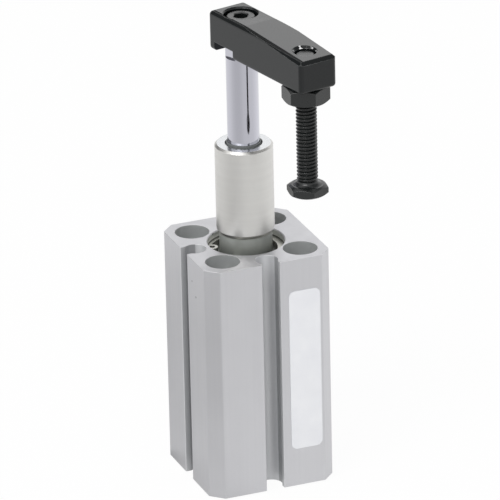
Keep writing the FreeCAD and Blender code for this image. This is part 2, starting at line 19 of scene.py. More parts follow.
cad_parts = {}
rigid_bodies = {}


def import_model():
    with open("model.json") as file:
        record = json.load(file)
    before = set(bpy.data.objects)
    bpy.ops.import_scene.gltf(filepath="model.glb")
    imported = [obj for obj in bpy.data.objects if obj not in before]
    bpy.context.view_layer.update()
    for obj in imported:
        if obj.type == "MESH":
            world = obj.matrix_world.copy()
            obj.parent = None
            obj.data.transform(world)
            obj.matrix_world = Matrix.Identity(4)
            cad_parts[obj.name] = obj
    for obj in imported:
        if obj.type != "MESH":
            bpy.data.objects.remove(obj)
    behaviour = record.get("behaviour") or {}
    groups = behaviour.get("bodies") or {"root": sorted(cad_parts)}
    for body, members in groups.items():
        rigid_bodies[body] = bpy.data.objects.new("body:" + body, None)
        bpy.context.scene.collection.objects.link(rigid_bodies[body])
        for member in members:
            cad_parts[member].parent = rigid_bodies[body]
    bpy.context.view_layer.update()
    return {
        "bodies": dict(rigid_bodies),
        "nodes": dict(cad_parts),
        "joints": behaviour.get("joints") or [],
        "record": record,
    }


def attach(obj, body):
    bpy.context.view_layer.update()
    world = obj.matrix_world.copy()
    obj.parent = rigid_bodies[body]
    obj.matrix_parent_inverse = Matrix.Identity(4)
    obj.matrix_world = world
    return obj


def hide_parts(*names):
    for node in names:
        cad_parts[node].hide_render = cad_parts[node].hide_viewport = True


LOG = logging.getLogger("clamp_cylinder")

MM = 0.001
WHITE = "#ffffff"
# Side of the picture in pixels.
PICTURE = 500
# Where the clamp bolt's axis crosses the plane of the table, in millimetres.
BOLT_AXIS = (4.431, -20.323)
# Points of a mesh that are nearer than this, in metres, are one.
MERGED = 1e-7
# Samples of the shading that rounds edges, and the cosines of its turn at which an edge is bare and untouched.
EDGE_SAMPLES = 6
EDGE_TURN = (0.75, 0.995)
# Radius of a speck and radius at which its soft rim ends, as shares of the distance between specks.
SPECK_RADIUS = (0.03, 0.045)

Ring = list[Vector]
Triple = tuple[float, float, float]
Frame = Mapping[str, Any]
BMesh = bmesh.types.BMesh
Node = bpy.types.Node
Socket = bpy.types.NodeSocket
Tree = bpy.types.NodeTree
Settings = dict[str | int, Any]
Links = dict[str | int, Socket]


class Body(Enum):
    """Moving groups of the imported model."""

    CYLINDER = "cylinder"
    ROD = "rod"
    CLAMP_BOLT = "clamp_bolt"


class Slot(Enum):
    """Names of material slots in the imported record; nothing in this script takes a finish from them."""

    BODY = "anodised_aluminium"
    SCREW = "black_screw_steel"


def linear(colour: str) -> tuple[float, float, float, float]:
    """Turns an sRGB hex colour to linear light.

    Args:
        colour: Colour as "#rrggbb".

    Returns:
        Linear red, green, blue and an alpha of 1.
    """
    parts = [int(colour[i:i + 2], 16) / 255 for i in (1, 3, 5)]
    light = [c / 12.92 if c <= 0.04045 else ((c + 0.055) / 1.055) ** 2.4 for c in parts]
    return (light[0], light[1], light[2], 1.0)


def per_mm(size: float) -> float:
    """Texture scale at which one feature of a noise is about this many millimetres."""
    return 1.0 / (size * MM)


def wave_scale(spacing: float) -> float:
    """Wave texture scale whose bands repeat at this spacing in millimetres."""
    return 2 * math.pi / 20 / (spacing * MM)


def spread(low: float, high: float, start: float = 0.3, end: float = 0.7) -> Settings:
    """Settings that turn a pattern's height, from start to end, to an amount from low to high."""
    return {"From Min": start, "From Max": end, "To Min": low, "To Max": high}


def add_node(tree: Tree, kind: str, settings: Settings | None = None, links: Links | None = None) -> Node:
    """Adds a shader node with its settings and links.

    Args:
        tree: Node tree that gets the node.
        kind: Blender's name of the node's type.
        settings: Values by property name, or by input name or number.
        links: Sockets that feed the node, by input name or number.

    Returns:
        The new node.
    """
    node = tree.nodes.new(kind)
    for name, value in (settings or {}).items():
        if isinstance(name, str) and hasattr(node, name):
            setattr(node, name, value)
        else:
            node.inputs[name].default_value = value
    for name, socket in (links or {}).items():
        tree.links.new(socket, node.inputs[name])
    return node


@dataclass(frozen=True)
class Finish:
    """A surface as its maker left it.

    Attributes:
        name: Real material and how the surface was made.
        colour: Main colour, sRGB hex.
        roughness: Mean roughness.
        metallic: 1 for bare metal, less under a coat that dulls it, 0 for rubber, film and oxide.
        ior: Index of refraction; metals keep the default.
        gloss: How far the roughness falls below its mean and rises above it.
        relief: Depth of the relief in millimetres.
        relief_share: Share of the relief that shows.
        edge: Width of rubbed or broken edges in millimetres.
    """

    name: str
    colour: str
    roughness: float
    metallic: float = 1.0
    ior: float = 1.5
    gloss: tuple[float, float] = (0.0, 0.0)
    relief: float = 0.0
    relief_share: float = 0.3
    edge: float = 0.12

    def material(self) -> bpy.types.Material:
        """Makes the material, or finds the one already made.

        Returns:
            The dressed material.
        """
        known = bpy.data.materials.get(self.name)
        if known:
            return known
        made = bpy.data.materials.new(self.name)
        made.use_nodes = True
        tree = made.node_tree
        shader = tree.nodes["Principled BSDF"]
        shader.inputs["Base Color"].default_value = linear(self.colour)
        shader.inputs["Roughness"].default_value = self.roughness
        shader.inputs["Metallic"].default_value = self.metallic
        shader.inputs["IOR"].default_value = self.ior
        self.dress(tree, shader)
        return made

    def dress(self, tree: Tree, shader: Node) -> None:
        """Adds the pattern of the surface; a plain finish has none."""

    def marks(self, tree: Tree, size: float, stretch: Triple = (1, 1, 1), detail: float = 2.0) -> Socket:
        """Draws soft spots that the making left, or streaks where they are drawn out.

        Args:
            tree: Node tree of the material.
            size: Size of a spot in millimetres.
            stretch: Factor along each axis, below 1 to draw the spots out.
            detail: Octaves of finer spots.

        Returns:
            The height of the pattern, about 0.5 on average.
        """
        spot = add_node(tree, "ShaderNodeTexCoord").outputs["Object"]
        drawn = add_node(tree, "ShaderNodeMapping", {"Scale": stretch}, {"Vector": spot}).outputs["Vector"]
        settings: Settings = {"Scale": per_mm(size), "Detail": detail}
        return add_node(tree, "ShaderNodeTexNoise", settings, {"Vector": drawn}).outputs["Fac"]

    def specks(self, tree: Tree, apart: float) -> Socket:
        """Strews small dents and specks over the surface.

        Args:
            tree: Node tree of the material.
            apart: Mean distance of the specks in millimetres.

        Returns:
            A share that is 1 on the specks.
        """
        spot = add_node(tree, "ShaderNodeTexCoord").outputs["Object"]
        cells = add_node(tree, "ShaderNodeTexVoronoi", {"Scale": per_mm(apart)}, {"Vector": spot})
        reach: Links = {"Value": cells.outputs["Distance"]}
        return add_node(tree, "ShaderNodeMapRange", spread(1.0, 0.0, *SPECK_RADIUS), reach).outputs["Result"]

    def edges(self, tree: Tree) -> tuple[Socket, Socket]:
        """Finds the edges of the part, where the finishes lay wear from handling, painted highlights and, on the label,
        painted shade.

        Args:
            tree: Node tree of the material.

        Returns:
            A share that is 1 on edges, and a normal that rounds them.
        """
        settings: Settings = {"samples": EDGE_SAMPLES, "Radius": self.edge * MM}
        rounded = add_node(tree, "ShaderNodeBevel", settings).outputs["Normal"]
        flat = add_node(tree, "ShaderNodeNewGeometry").outputs["Normal"]
        turn = add_node(tree, "ShaderNodeVectorMath", {"operation": "DOT_PRODUCT"}, {0: rounded, 1: flat})
        rubbed_and_highlit: Links = {"Value": turn.outputs["Value"]}
        share = add_node(tree, "ShaderNodeMapRange", spread(1.0, 0.0, *EDGE_TURN), rubbed_and_highlit)
        return share.outputs["Result"], rounded

    def paint(self, tree: Tree, shader: Node, coats: Sequence[tuple[Socket, str]]) -> None:
        """Lays colours over the main colour, or over what is painted already, each where its share shows.

        Args:
            tree: Node tree of the material.
            shader: Shader that gets the colour.
            coats: Share and hex colour of each coat, the lowest first.
        """
        painted = shader.inputs["Base Color"]
        for share, colour in coats:
            links: Links = {0: share}
            if painted.links:
                links[6] = painted.links[0].from_socket
            settings: Settings = {"data_type": "RGBA", 6: linear(self.colour), 7: linear(colour)}
            tree.links.new(add_node(tree, "ShaderNodeMix", settings, links).outputs[2], painted)

    def texture(self, tree: Tree, shader: Node, gloss: Socket, height: Socket, normal: Socket | None = None) -> None:
        """Gives the surface its uneven gloss and its relief.

        Args:
            tree: Node tree of the material.
            shader: Shader that gets them.
            gloss: Pattern of the gloss.
            height: Pattern of the relief.
            normal: Normal to start from, if it isn't the surface's own.
        """
        less, more = self.gloss
        uneven = spread(self.roughness - less, self.roughness + more)
        rough = add_node(tree, "ShaderNodeMapRange", uneven, {"Value": gloss})
        tree.links.new(rough.outputs["Result"], shader.inputs["Roughness"])
        links: Links = {"Height": height}
        if normal:
            links["Normal"] = normal
        settings: Settings = {"Distance": self.relief * MM, "Strength": self.relief_share}
        tree.links.new(add_node(tree, "ShaderNodeBump", settings, links).outputs["Normal"], shader.inputs["Normal"])


@dataclass(frozen=True)
class ExtrudedSkin(Finish):
    """Extruded aluminium, etched and anodised: silky grey, faint die lines along the profile, and lighter edges, partly
    wear and partly a painted highlight.

    Attributes:
        wear_and_highlight: Colour of the edges, partly wear from rubbing and partly a painted highlight.
        streaked: Darker colour in the die lines and clouds.
        speck: Colour of small dents and specks.
        die_line: Width of the die lines in millimetres.
        drawn: Factor that draws the die lines out along the profile.
        line_share: Share of the darker colour in the die lines.
        cloud: Size of the anodising's clouds in millimetres.
        cloud_share: Share of the darker colour in the clouds.
        apart: Mean distance of the specks in millimetres.
        grain: Size of the etched grain in millimetres; the real one is near 0.03, drawn coarser so that it shows.
    """

    gloss: tuple[float, float] = (0.012, 0.012)
    relief: float = 0.004
    relief_share: float = 0.5
    wear_and_highlight: str = "#e9e9eb"
    streaked: str = "#cacacd"
    speck: str = "#77777a"
    die_line: float = 0.55
    drawn: float = 0.012
    line_share: float = 0.22
    cloud: float = 6.0
    cloud_share: float = 0.25
    apart: float = 5.5
    grain: float = 0.15

    def dress(self, tree: Tree, shader: Node) -> None:
        """Adds die lines, cloudy anodising, specks, and lighter edges as wear and painted highlight.

        Args:
            tree: Node tree of the material.
            shader: Its shader.
        """
        lines = self.marks(tree, self.die_line, (1, 1, self.drawn), detail=3.0)
        streaks = add_node(tree, "ShaderNodeMapRange", spread(0.0, self.line_share), {"Value": lines})
        cloud = self.marks(tree, self.cloud)
        dull = add_node(tree, "ShaderNodeMapRange", spread(0.0, self.cloud_share), {"Value": cloud})
        rubbed_and_highlit, rounded = self.edges(tree)
        self.paint(tree, shader, ((streaks.outputs["Result"], self.streaked), (dull.outputs["Result"], self.streaked),
                                  (self.specks(tree, self.apart), self.speck), (rubbed_and_highlit, self.wear_and_highlight)))
        self.texture(tree, shader, lines, self.marks(tree, self.grain, detail=1.0), rounded)


@dataclass(frozen=True)
class ShadedGrooveSide(ExtrudedSkin):
    """Side of an extruded groove: the same skin painted a little darker, with painted shade that grows darker with
    depth.

    Attributes:
        recess_shade: Colour of the painted shade where the side lies deepest.
        face: Distance of the body's face from the rod axis in millimetres.
        depth: Depth below the face in millimetres from which the painted shade is darkest.
    """

    recess_shade: str = "#a5a6a8"
    face: float = 12.5
    depth: float = 1.2

    def dress(self, tree: Tree, shader: Node) -> None:
        """Adds the extruded skin and paints shade over it, darker with depth.

        Args:
            tree: Node tree of the material.
            shader: Its shader.
        """
        super().dress(tree, shader)
        spot = add_node(tree, "ShaderNodeTexCoord").outputs["Object"]
        sides = add_node(tree, "ShaderNodeVectorMath", {"operation": "ABSOLUTE"}, {0: spot}).outputs["Vector"]
        parts = add_node(tree, "ShaderNodeSeparateXYZ", {}, {0: sides}).outputs
        reach = add_node(tree, "ShaderNodeMath", {"operation": "MAXIMUM"}, {0: parts["X"], 1: parts["Y"]})
        settings = spread(1.0, 0.0, (self.face - self.depth) * MM, self.face * MM)
        share = add_node(tree, "ShaderNodeMapRange", settings, {"Value": reach.outputs["Value"]})
        self.paint(tree, shader, ((share.outputs["Result"], self.recess_shade),))


@dataclass(frozen=True)
class MachinedFace(Finish):
    """Aluminium cut on a machine and anodised: brighter than the skin, with the fine arcs of the cutter.

    Attributes:
        spacing: Distance between cutter marks in millimetres.
        centre: Place of the arcs' centre in millimetres.
        wander: How far the arcs wander.
        wear_and_highlight: Colour of the broken edges, partly wear from rubbing and partly a painted highlight.
        speck: Colour of small dents and specks.
        apart: Mean distance of the specks in millimetres.
        cloud: Size of duller patches in millimetres.
    """

    gloss: tuple[float, float] = (0.05, 0.05)
    relief: float = 0.0015
    relief_share: float = 0.35
    edge: float = 0.1
    spacing: float = 0.35
    centre: Triple = (0.0, 0.0, 0.0)
    wander: float = 0.6
    wear_and_highlight: str = "#f1f1f2"
    speck: str = "#8a8a8c"
    apart: float = 7.0
    cloud: float = 2.5

    def dress(self, tree: Tree, shader: Node) -> None:
        """Adds cutter arcs, specks, and lighter broken edges as wear and painted highlight.

        Args:
            tree: Node tree of the material.
            shader: Its shader.
        """
        spot = add_node(tree, "ShaderNodeTexCoord").outputs["Object"]
        shift: Settings = {"Location": tuple(-c * MM for c in self.centre)}
        moved = add_node(tree, "ShaderNodeMapping", shift, {"Vector": spot}).outputs["Vector"]
        settings: Settings = {"wave_type": "RINGS", "rings_direction": "Z", "Scale": wave_scale(self.spacing),
                    "Distortion": self.wander, "Detail": 1.0}
        arcs = add_node(tree, "ShaderNodeTexWave", settings, {"Vector": moved}).outputs["Fac"]
        rubbed_and_highlit, rounded = self.edges(tree)
        self.paint(tree, shader, ((self.specks(tree, self.apart), self.speck), (rubbed_and_highlit, self.wear_and_highlight)))
        self.texture(tree, shader, self.marks(tree, self.cloud), arcs, rounded)


@dataclass(frozen=True)
class BoredMouth(MachinedFace):
    """Bored wall above a retaining ring, painted lighter as the light on it, with a painted black shadow line in the
    gap over the ring.

    Attributes:
        gap_top: Height of the upper edge of the painted shadow line in millimetres.
        gap_soft: Width over which that edge fades in millimetres.
        gap: Colour of the painted shadow line in the gap.
    """

    gap_top: float = 0.0
    gap_soft: float = 0.05
    gap: str = "#10110f"

    def dress(self, tree: Tree, shader: Node) -> None:
        """Adds the bored surface and the painted black shadow line.

        Args:
            tree: Node tree of the material.
            shader: Its shader.
        """
        super().dress(tree, shader)
        spot = add_node(tree, "ShaderNodeTexCoord").outputs["Object"]
        level = add_node(tree, "ShaderNodeSeparateXYZ", {}, {0: spot}).outputs["Z"]
        settings = spread(1.0, 0.0, (self.gap_top - self.gap_soft) * MM, self.gap_top * MM)
        share = add_node(tree, "ShaderNodeMapRange", settings, {"Value": level})
        self.paint(tree, shader, ((share.outputs["Result"], self.gap),))


@dataclass(frozen=True)
class TurnedFace(Finish):
    """Metal turned on a lathe round the rod axis: fine rings that blur what the surface mirrors.

    Attributes:
        feed: Distance between turning rings in millimetres, drawn coarser than the real feed so that it shows.
        band: Width of duller bands in millimetres.
        drawn: Factor that draws the bands out round the part.
        band_share: Share of the darker colour in the bands.
        wear_and_highlight: Colour of the broken edges, partly wear from rubbing and partly a painted highlight.
        shade: Darker colour in the bands.
    """

    gloss: tuple[float, float] = (0.04, 0.04)
    relief: float = 0.001
    edge: float = 0.15
    feed: float = 0.16
    band: float = 0.9
    drawn: float = 0.02
    band_share: float = 0.5
    wear_and_highlight: str = "#f3f2ef"
    shade: str = "#c9c8c4"

    def dress(self, tree: Tree, shader: Node) -> None:
        """Adds turning rings along the axis and across end faces, and lighter edges as wear and painted highlight.

        Args:
            tree: Node tree of the material.
            shader: Its shader.
        """
        spot = add_node(tree, "ShaderNodeTexCoord").outputs["Object"]
        along: Settings = {"bands_direction": "Z", "Scale": wave_scale(self.feed), "Distortion": 1.5, "Detail": 2.0,
                 "Detail Scale": 3.0}
        across: Settings = {"wave_type": "RINGS", "rings_direction": "Z", "Scale": wave_scale(self.feed)}
        bands = add_node(tree, "ShaderNodeTexWave", along, {"Vector": spot}).outputs["Fac"]
        rings = add_node(tree, "ShaderNodeTexWave", across, {"Vector": spot}).outputs["Fac"]
        both = add_node(tree, "ShaderNodeMath", {"operation": "ADD"}, {0: bands, 1: rings}).outputs["Value"]
        broad = self.marks(tree, self.band, (self.drawn, self.drawn, 1))
        dull = add_node(tree, "ShaderNodeMapRange", spread(0.0, self.band_share), {"Value": broad})
        rubbed_and_highlit, rounded = self.edges(tree)
        self.paint(tree, shader, ((dull.outputs["Result"], self.shade), (rubbed_and_highlit, self.wear_and_highlight)))
        self.texture(tree, shader, broad, both, rounded)


@dataclass(frozen=True)
class HardChrome(Finish):
    """Ground and hard-chromed steel: a cool mirror, hazed a little by grinding rings too fine to count.

    Attributes:
        band: Width of the haze's bands in millimetres; the real rings are near 0.01, drawn coarser so that they show.
        drawn: Factor that draws the bands out round the part.
    """

    gloss: tuple[float, float] = (0.02, 0.03)
    relief: float = 0.0003
    relief_share: float = 0.2
    edge: float = 0.08
    band: float = 0.25
    drawn: float = 0.02

    def dress(self, tree: Tree, shader: Node) -> None:
        """Adds the faint haze of grinding."""
        bands = self.marks(tree, self.band, (self.drawn, self.drawn, 1))
        self.texture(tree, shader, bands, bands, self.edges(tree)[1])


@dataclass(frozen=True)
class BlackOxide(Finish):
    """Steel blackened in hot salts and oiled: near black, glossy, slightly uneven, with bare patches on its edges that
    are wear, and painted glints where their colour is near white.

    Attributes:
        bare: Colour of the patches on the edges: bare steel through the coat, and a painted glint where it is near
            white.
        orange_peel: Size of the coat's unevenness in millimetres.
        wear: Share of bare colour on the edges.
        wear_least: Part of that share that is left between the patches.
        patch: Size of the patches in millimetres.
        worn_from: Height of the patch pattern above which an edge takes the bare colour.
    """

    metallic: float = 0.0
    ior: float = 1.42
    gloss: tuple[float, float] = (0.02, 0.03)
    relief: float = 0.002
    bare: str = "#6f7173"
    orange_peel: float = 0.7
    wear: float = 0.35
    wear_least: float = 0.2
    patch: float = 3.5
    worn_from: float = 0.3

    def dress(self, tree: Tree, shader: Node) -> None:
        """Adds uneven gloss, a soft relief, and the bare colour on the edges as wear and painted glints.

        Args:
            tree: Node tree of the material.
            shader: Its shader.
        """
        patches = self.marks(tree, self.patch)
        rubbed_and_highlit, rounded = self.edges(tree)
        self.paint(tree, shader, ((self.wear_and_highlight(tree, patches, rubbed_and_highlit), self.bare),))
        self.texture(tree, shader, patches, self.marks(tree, self.orange_peel), rounded)

    def wear_and_highlight(self, tree: Tree, patches: Socket, rubbed_and_highlit: Socket) -> Socket:
        """Tells where the edges take the bare colour: wear through the coat, and painted glints where that colour is
        near white.

        Args:
            tree: Node tree of the material.
            patches: Pattern of the patches.
            rubbed_and_highlit: 1 on the edges of the part.

        Returns:
            The share of the bare colour.
        """
        settings = spread(self.wear_least * self.wear, self.wear, self.worn_from)
        scuffs_and_glints = add_node(tree, "ShaderNodeMapRange", settings, {"Value": patches}).outputs["Result"]
        return add_node(tree, "ShaderNodeMath", {"operation": "MULTIPLY"}, {0: rubbed_and_highlit, 1: scuffs_and_glints}).outputs["Value"]


@dataclass(frozen=True)
class RimWithPaintedGlints(BlackOxide):
    """Blackened rim of a hole with painted glints: short stretches of white that stand in for highlights on black.

    Attributes:
        fade: Rise of the patch pattern over which a painted glint fades in.
    """

    fade: float = 0.1

    def wear_and_highlight(self, tree: Tree, patches: Socket, rubbed_and_highlit: Socket) -> Socket:
        """Gives painted glints in short stretches over the whole width of the rim."""
        settings = spread(0.0, self.wear, self.worn_from, self.worn_from + self.fade)
        return add_node(tree, "ShaderNodeMapRange", settings, {"Value": patches}).outputs["Result"]


@dataclass(frozen=True)
class PlanedOxide(BlackOxide):
    """Blackened steel planed on top, its long edge broken flat: that edge mirrors another side of the room.

    Attributes:
        beside: Direction from the middle of the face to the broken edge.
        broken: Distance from the middle at which the edge starts to be broken, in millimetres.
        broken_soft: Width over which the break starts, in millimetres.
        tilt: How far the broken edge leans over, as a slope.
    """

    beside: Triple = (1.0, 0.0, 0.0)
    broken: float = 2.9
    broken_soft: float = 0.08
    tilt: float = 2.5

    def dress(self, tree: Tree, shader: Node) -> None:
        """Adds the blackened surface and leans its normal over along the broken edge.

        Args:
            tree: Node tree of the material.
            shader: Its shader.
        """
        super().dress(tree, shader)
        kind = "ShaderNodeVectorMath"
        spot = add_node(tree, "ShaderNodeTexCoord").outputs["Object"]
        across = add_node(tree, kind, {"operation": "DOT_PRODUCT", 1: self.beside}, {0: spot}).outputs["Value"]
        settings = spread(0.0, self.tilt, self.broken * MM, (self.broken + self.broken_soft) * MM)
        slope = add_node(tree, "ShaderNodeMapRange", settings, {"Value": across}).outputs["Result"]
        lean = add_node(tree, kind, {"operation": "SCALE", 0: self.beside}, {"Scale": slope}).outputs["Vector"]
        flat = shader.inputs["Normal"].links[0].from_socket
        bent = add_node(tree, kind, {"operation": "ADD"}, {0: flat, 1: lean}).outputs["Vector"]
        unit = add_node(tree, kind, {"operation": "NORMALIZE"}, {0: bent}).outputs["Vector"]
        tree.links.new(unit, shader.inputs["Normal"])


@dataclass(frozen=True)
class MouldedSkin(Finish):
    """Moulded rubber or resin: dull, with a fine matt skin.

    Attributes:
        grain: Size of the skin's grain in millimetres.
    """

    metallic: float = 0.0
    gloss: tuple[float, float] = (0.06, 0.06)
    relief: float = 0.006
    relief_share: float = 0.5
    grain: float = 0.12

    def dress(self, tree: Tree, shader: Node) -> None:
        """Adds the matt grain of the mould."""
        fine = self.marks(tree, self.grain)
        self.texture(tree, shader, fine, fine)


@dataclass(frozen=True)
class PlainFilm(Finish):
    """Polyester label film, coated white: satin, almost flat, greyer where pressed down, with painted shade along its
    cut edge.

    Attributes:
        pressed: Colour where the film was pressed down.
        cut: Colour of the painted shade along the cut edge.
        cloud: Size of the pressed patches in millimetres.
        ripple: Size of the film's ripples in millimetres.
    """

    metallic: float = 0.0
    gloss: tuple[float, float] = (0.04, 0.04)
    relief: float = 0.003
    edge: float = 0.15
    pressed: str = "#e3e4e8"
    cut: str = "#a9abaf"
    cloud: float = 4.0
    ripple: float = 0.6

    def dress(self, tree: Tree, shader: Node) -> None:
        """Adds faint pressure clouds, painted shade along the cut edge and the film's slight ripple.

        Args:
            tree: Node tree of the material.
            shader: Its shader.
        """
        cloud = self.marks(tree, self.cloud)
        share = add_node(tree, "ShaderNodeMapRange", spread(0.0, 1.0), {"Value": cloud})
        self.paint(tree, shader, ((share.outputs["Result"], self.pressed), (self.edges(tree)[0], self.cut)))
        self.texture(tree, shader, cloud, self.marks(tree, self.ripple))


# Finishes of this cylinder, named for the real material and how it was made, and for the light and shade that some of
# them have painted in.
SKIN = ExtrudedSkin("anodised_aluminium_extruded", "#d4d4d7", 0.42)
GROOVE = ExtrudedSkin("anodised_aluminium_extruded_groove", "#d4d5d7", 0.45, 0.5, streaked="#cdced0")
# The groove's sides are the skin painted darker, with painted shade that grows darker with depth.
GROOVE_SIDE_SHADED = ShadedGrooveSide("anodised_aluminium_extruded_groove_side_painted_shade", "#cdced0", 0.45, 0.5, streaked="#c5c6c8")
END_FACE = MachinedFace("anodised_aluminium_end_milled", "#cfcfd2", 0.5, spacing=0.4, centre=(-60, 40, 0))
# The wall of the bore's mouth is the bored finish painted lighter than BORED, as the light on it; its black line is a
# painted shadow over the ring.
BORE = BoredMouth("anodised_aluminium_bored_painted_light", "#e6e8e5", 0.4, 0.75, spacing=0.2, gap_top=44.78)
BORED = MachinedFace("anodised_aluminium_bored", "#bcbebe", 0.5, 0.5, spacing=0.2)
NECK = TurnedFace("aluminium_fine_turned", "#dbdad7", 0.34, relief=0.0004, shade="#d5d4d1")
FACED = TurnedFace("aluminium_fine_faced", "#dcdee0", 0.24, relief=0.0004, shade="#d2d4d6")
# The shank's rougher turning is its own, but its darker colour is painted shade, as it stands low in the mouth of the
# body.
SHANK = TurnedFace("aluminium_rough_turned_painted_shade", "#a2a5a0", 0.45, 0.6, relief=0.002, feed=0.3, shade="#949793")
# The flange's top under the retaining ring is painted near black as the shade in that crevice.
FLANGE_SHADE = TurnedFace("aluminium_turned_painted_shade", "#6a6b68", 0.3, wear_and_highlight="#8a8a86", shade="#5a5b58")
CLIP = MachinedFace("spring_steel_stamped_and_tumbled", "#c3c2bc", 0.3, spacing=0.5, wear_and_highlight="#dcdbd6")
ROD = HardChrome("steel_ground_and_hard_chromed", "#cacad3", 0.07)
PIN = HardChrome("steel_hardened_and_ground", "#b7b8ba", 0.16)
# The arm, its planed top and the tapped hole's rim take a near-white bare colour in patches on edges and rims: painted
# glints.
ARM = BlackOxide("steel_blackened_and_oiled_gloss_painted_glints", "#101314", 0.12, ior=1.46, edge=0.2, bare="#d0d2d2",
                 wear=0.6, patch=1.5, worn_from=0.45)
PLANED = PlanedOxide("steel_planed_and_blackened_gloss_painted_glints", "#101314", 0.12, ior=1.46, edge=0.3, bare="#f0f0f0",
                     wear=0.9, patch=0.8, worn_from=0.48, beside=(-0.977, -0.213, 0.0))
RIM = RimWithPaintedGlints("steel_countersunk_and_blackened_painted_glints", "#101314", 0.12, ior=1.46, bare="#ffffff",
                wear=1.0, patch=0.8, worn_from=0.55)
FASTENER = BlackOxide("steel_blackened_fastener", "#121515", 0.26, ior=1.55, bare="#5d5e5b", orange_peel=0.4)
SEAL = MouldedSkin("nitrile_rubber_moulded", "#2a2b2c", 0.5)
WIPER = MouldedSkin("urethane_rubber_moulded", "#6a6d6d", 0.6)
BUMPER = MouldedSkin("polyurethane_rubber_moulded", "#3a342c", 0.55, grain=0.2)
RESIN = MouldedSkin("acetal_resin_moulded", "#d9d3c4", 0.4, grain=0.3)
MAGNET = MouldedSkin("magnet_rubber_moulded", "#3b3c3e", 0.6)
BRONZE = TurnedFace("bearing_bronze_bored", "#b08a54", 0.36, wear_and_highlight="#d3b070", shade="#9c7846")
PISTON = TurnedFace("aluminium_turned_piston", "#cfcfcc", 0.36)
FILM = PlainFilm("polyester_film_white", "#e8e9ec", 0.4)


def turned_ring(radius: float, level: float, columns: int, turn: float = 0.0) -> Ring:
    """Points of a circle round the local axis.

    Args:
        radius: Radius in millimetres.
        level: Height in millimetres.
        columns: Number of points.
        turn: Angle of the first point in degrees.

    Returns:
        The points, in millimetres.
    """
    angles = [math.radians(turn) + 2 * math.pi * i / columns for i in range(columns)]
    return [Vector((radius * math.cos(a), radius * math.sin(a), level)) for a in angles]


def hexagon_ring(across: float, level: float, columns: int, turn: float = 0.0, fall: float = 0.0,
                 crown: float = 0.0) -> Ring:
    """Points of a hexagon, lowered towards its corners as a turned-off crown lowers them.

    Args:
        across: Width across flats in millimetres.
        level: Height at the crown's circle in millimetres.
        columns: Number of points, a multiple of six.
        turn: Angle of the first corner in degrees.
        fall: Slope of the crown; 0 for none, below 0 for a crown at the lower end.
        crown: Radius of the crown's circle in millimetres.

    Returns:
        The points, in millimetres.
    """
    points = []
    for i in range(columns):
        angle = 2 * math.pi * i / columns
        radius = across / 2 / math.cos(angle % (math.pi / 3) - math.pi / 6)
        real = angle + math.radians(turn)
        drop = fall * max(0.0, radius - crown)
        points.append(Vector((radius * math.cos(real), radius * math.sin(real), level - drop)))
    return points


def add_loft(mesh: BMesh, rings: Sequence[Ring], closed: bool = False) -> None:
    """Skins a row of rings into a closed shell.

    Args:
        mesh: Mesh that gets the shell.
        rings: Rings with the same number of points each.
        closed: True to join the last ring to the first, False to cap both ends.
    """
    rows = [[mesh.verts.new(point * MM) for point in ring] for ring in rings]
    count = len(rows[0])
    for low, high in zip(rows, rows[1:] + rows[:1] if closed else rows[1:]):
        for i in range(count):
            j = (i + 1) % count
            mesh.faces.new((low[i], low[j], high[j], high[i]))
    if not closed:
        mesh.faces.new(rows[0][::-1])
        mesh.faces.new(rows[-1])


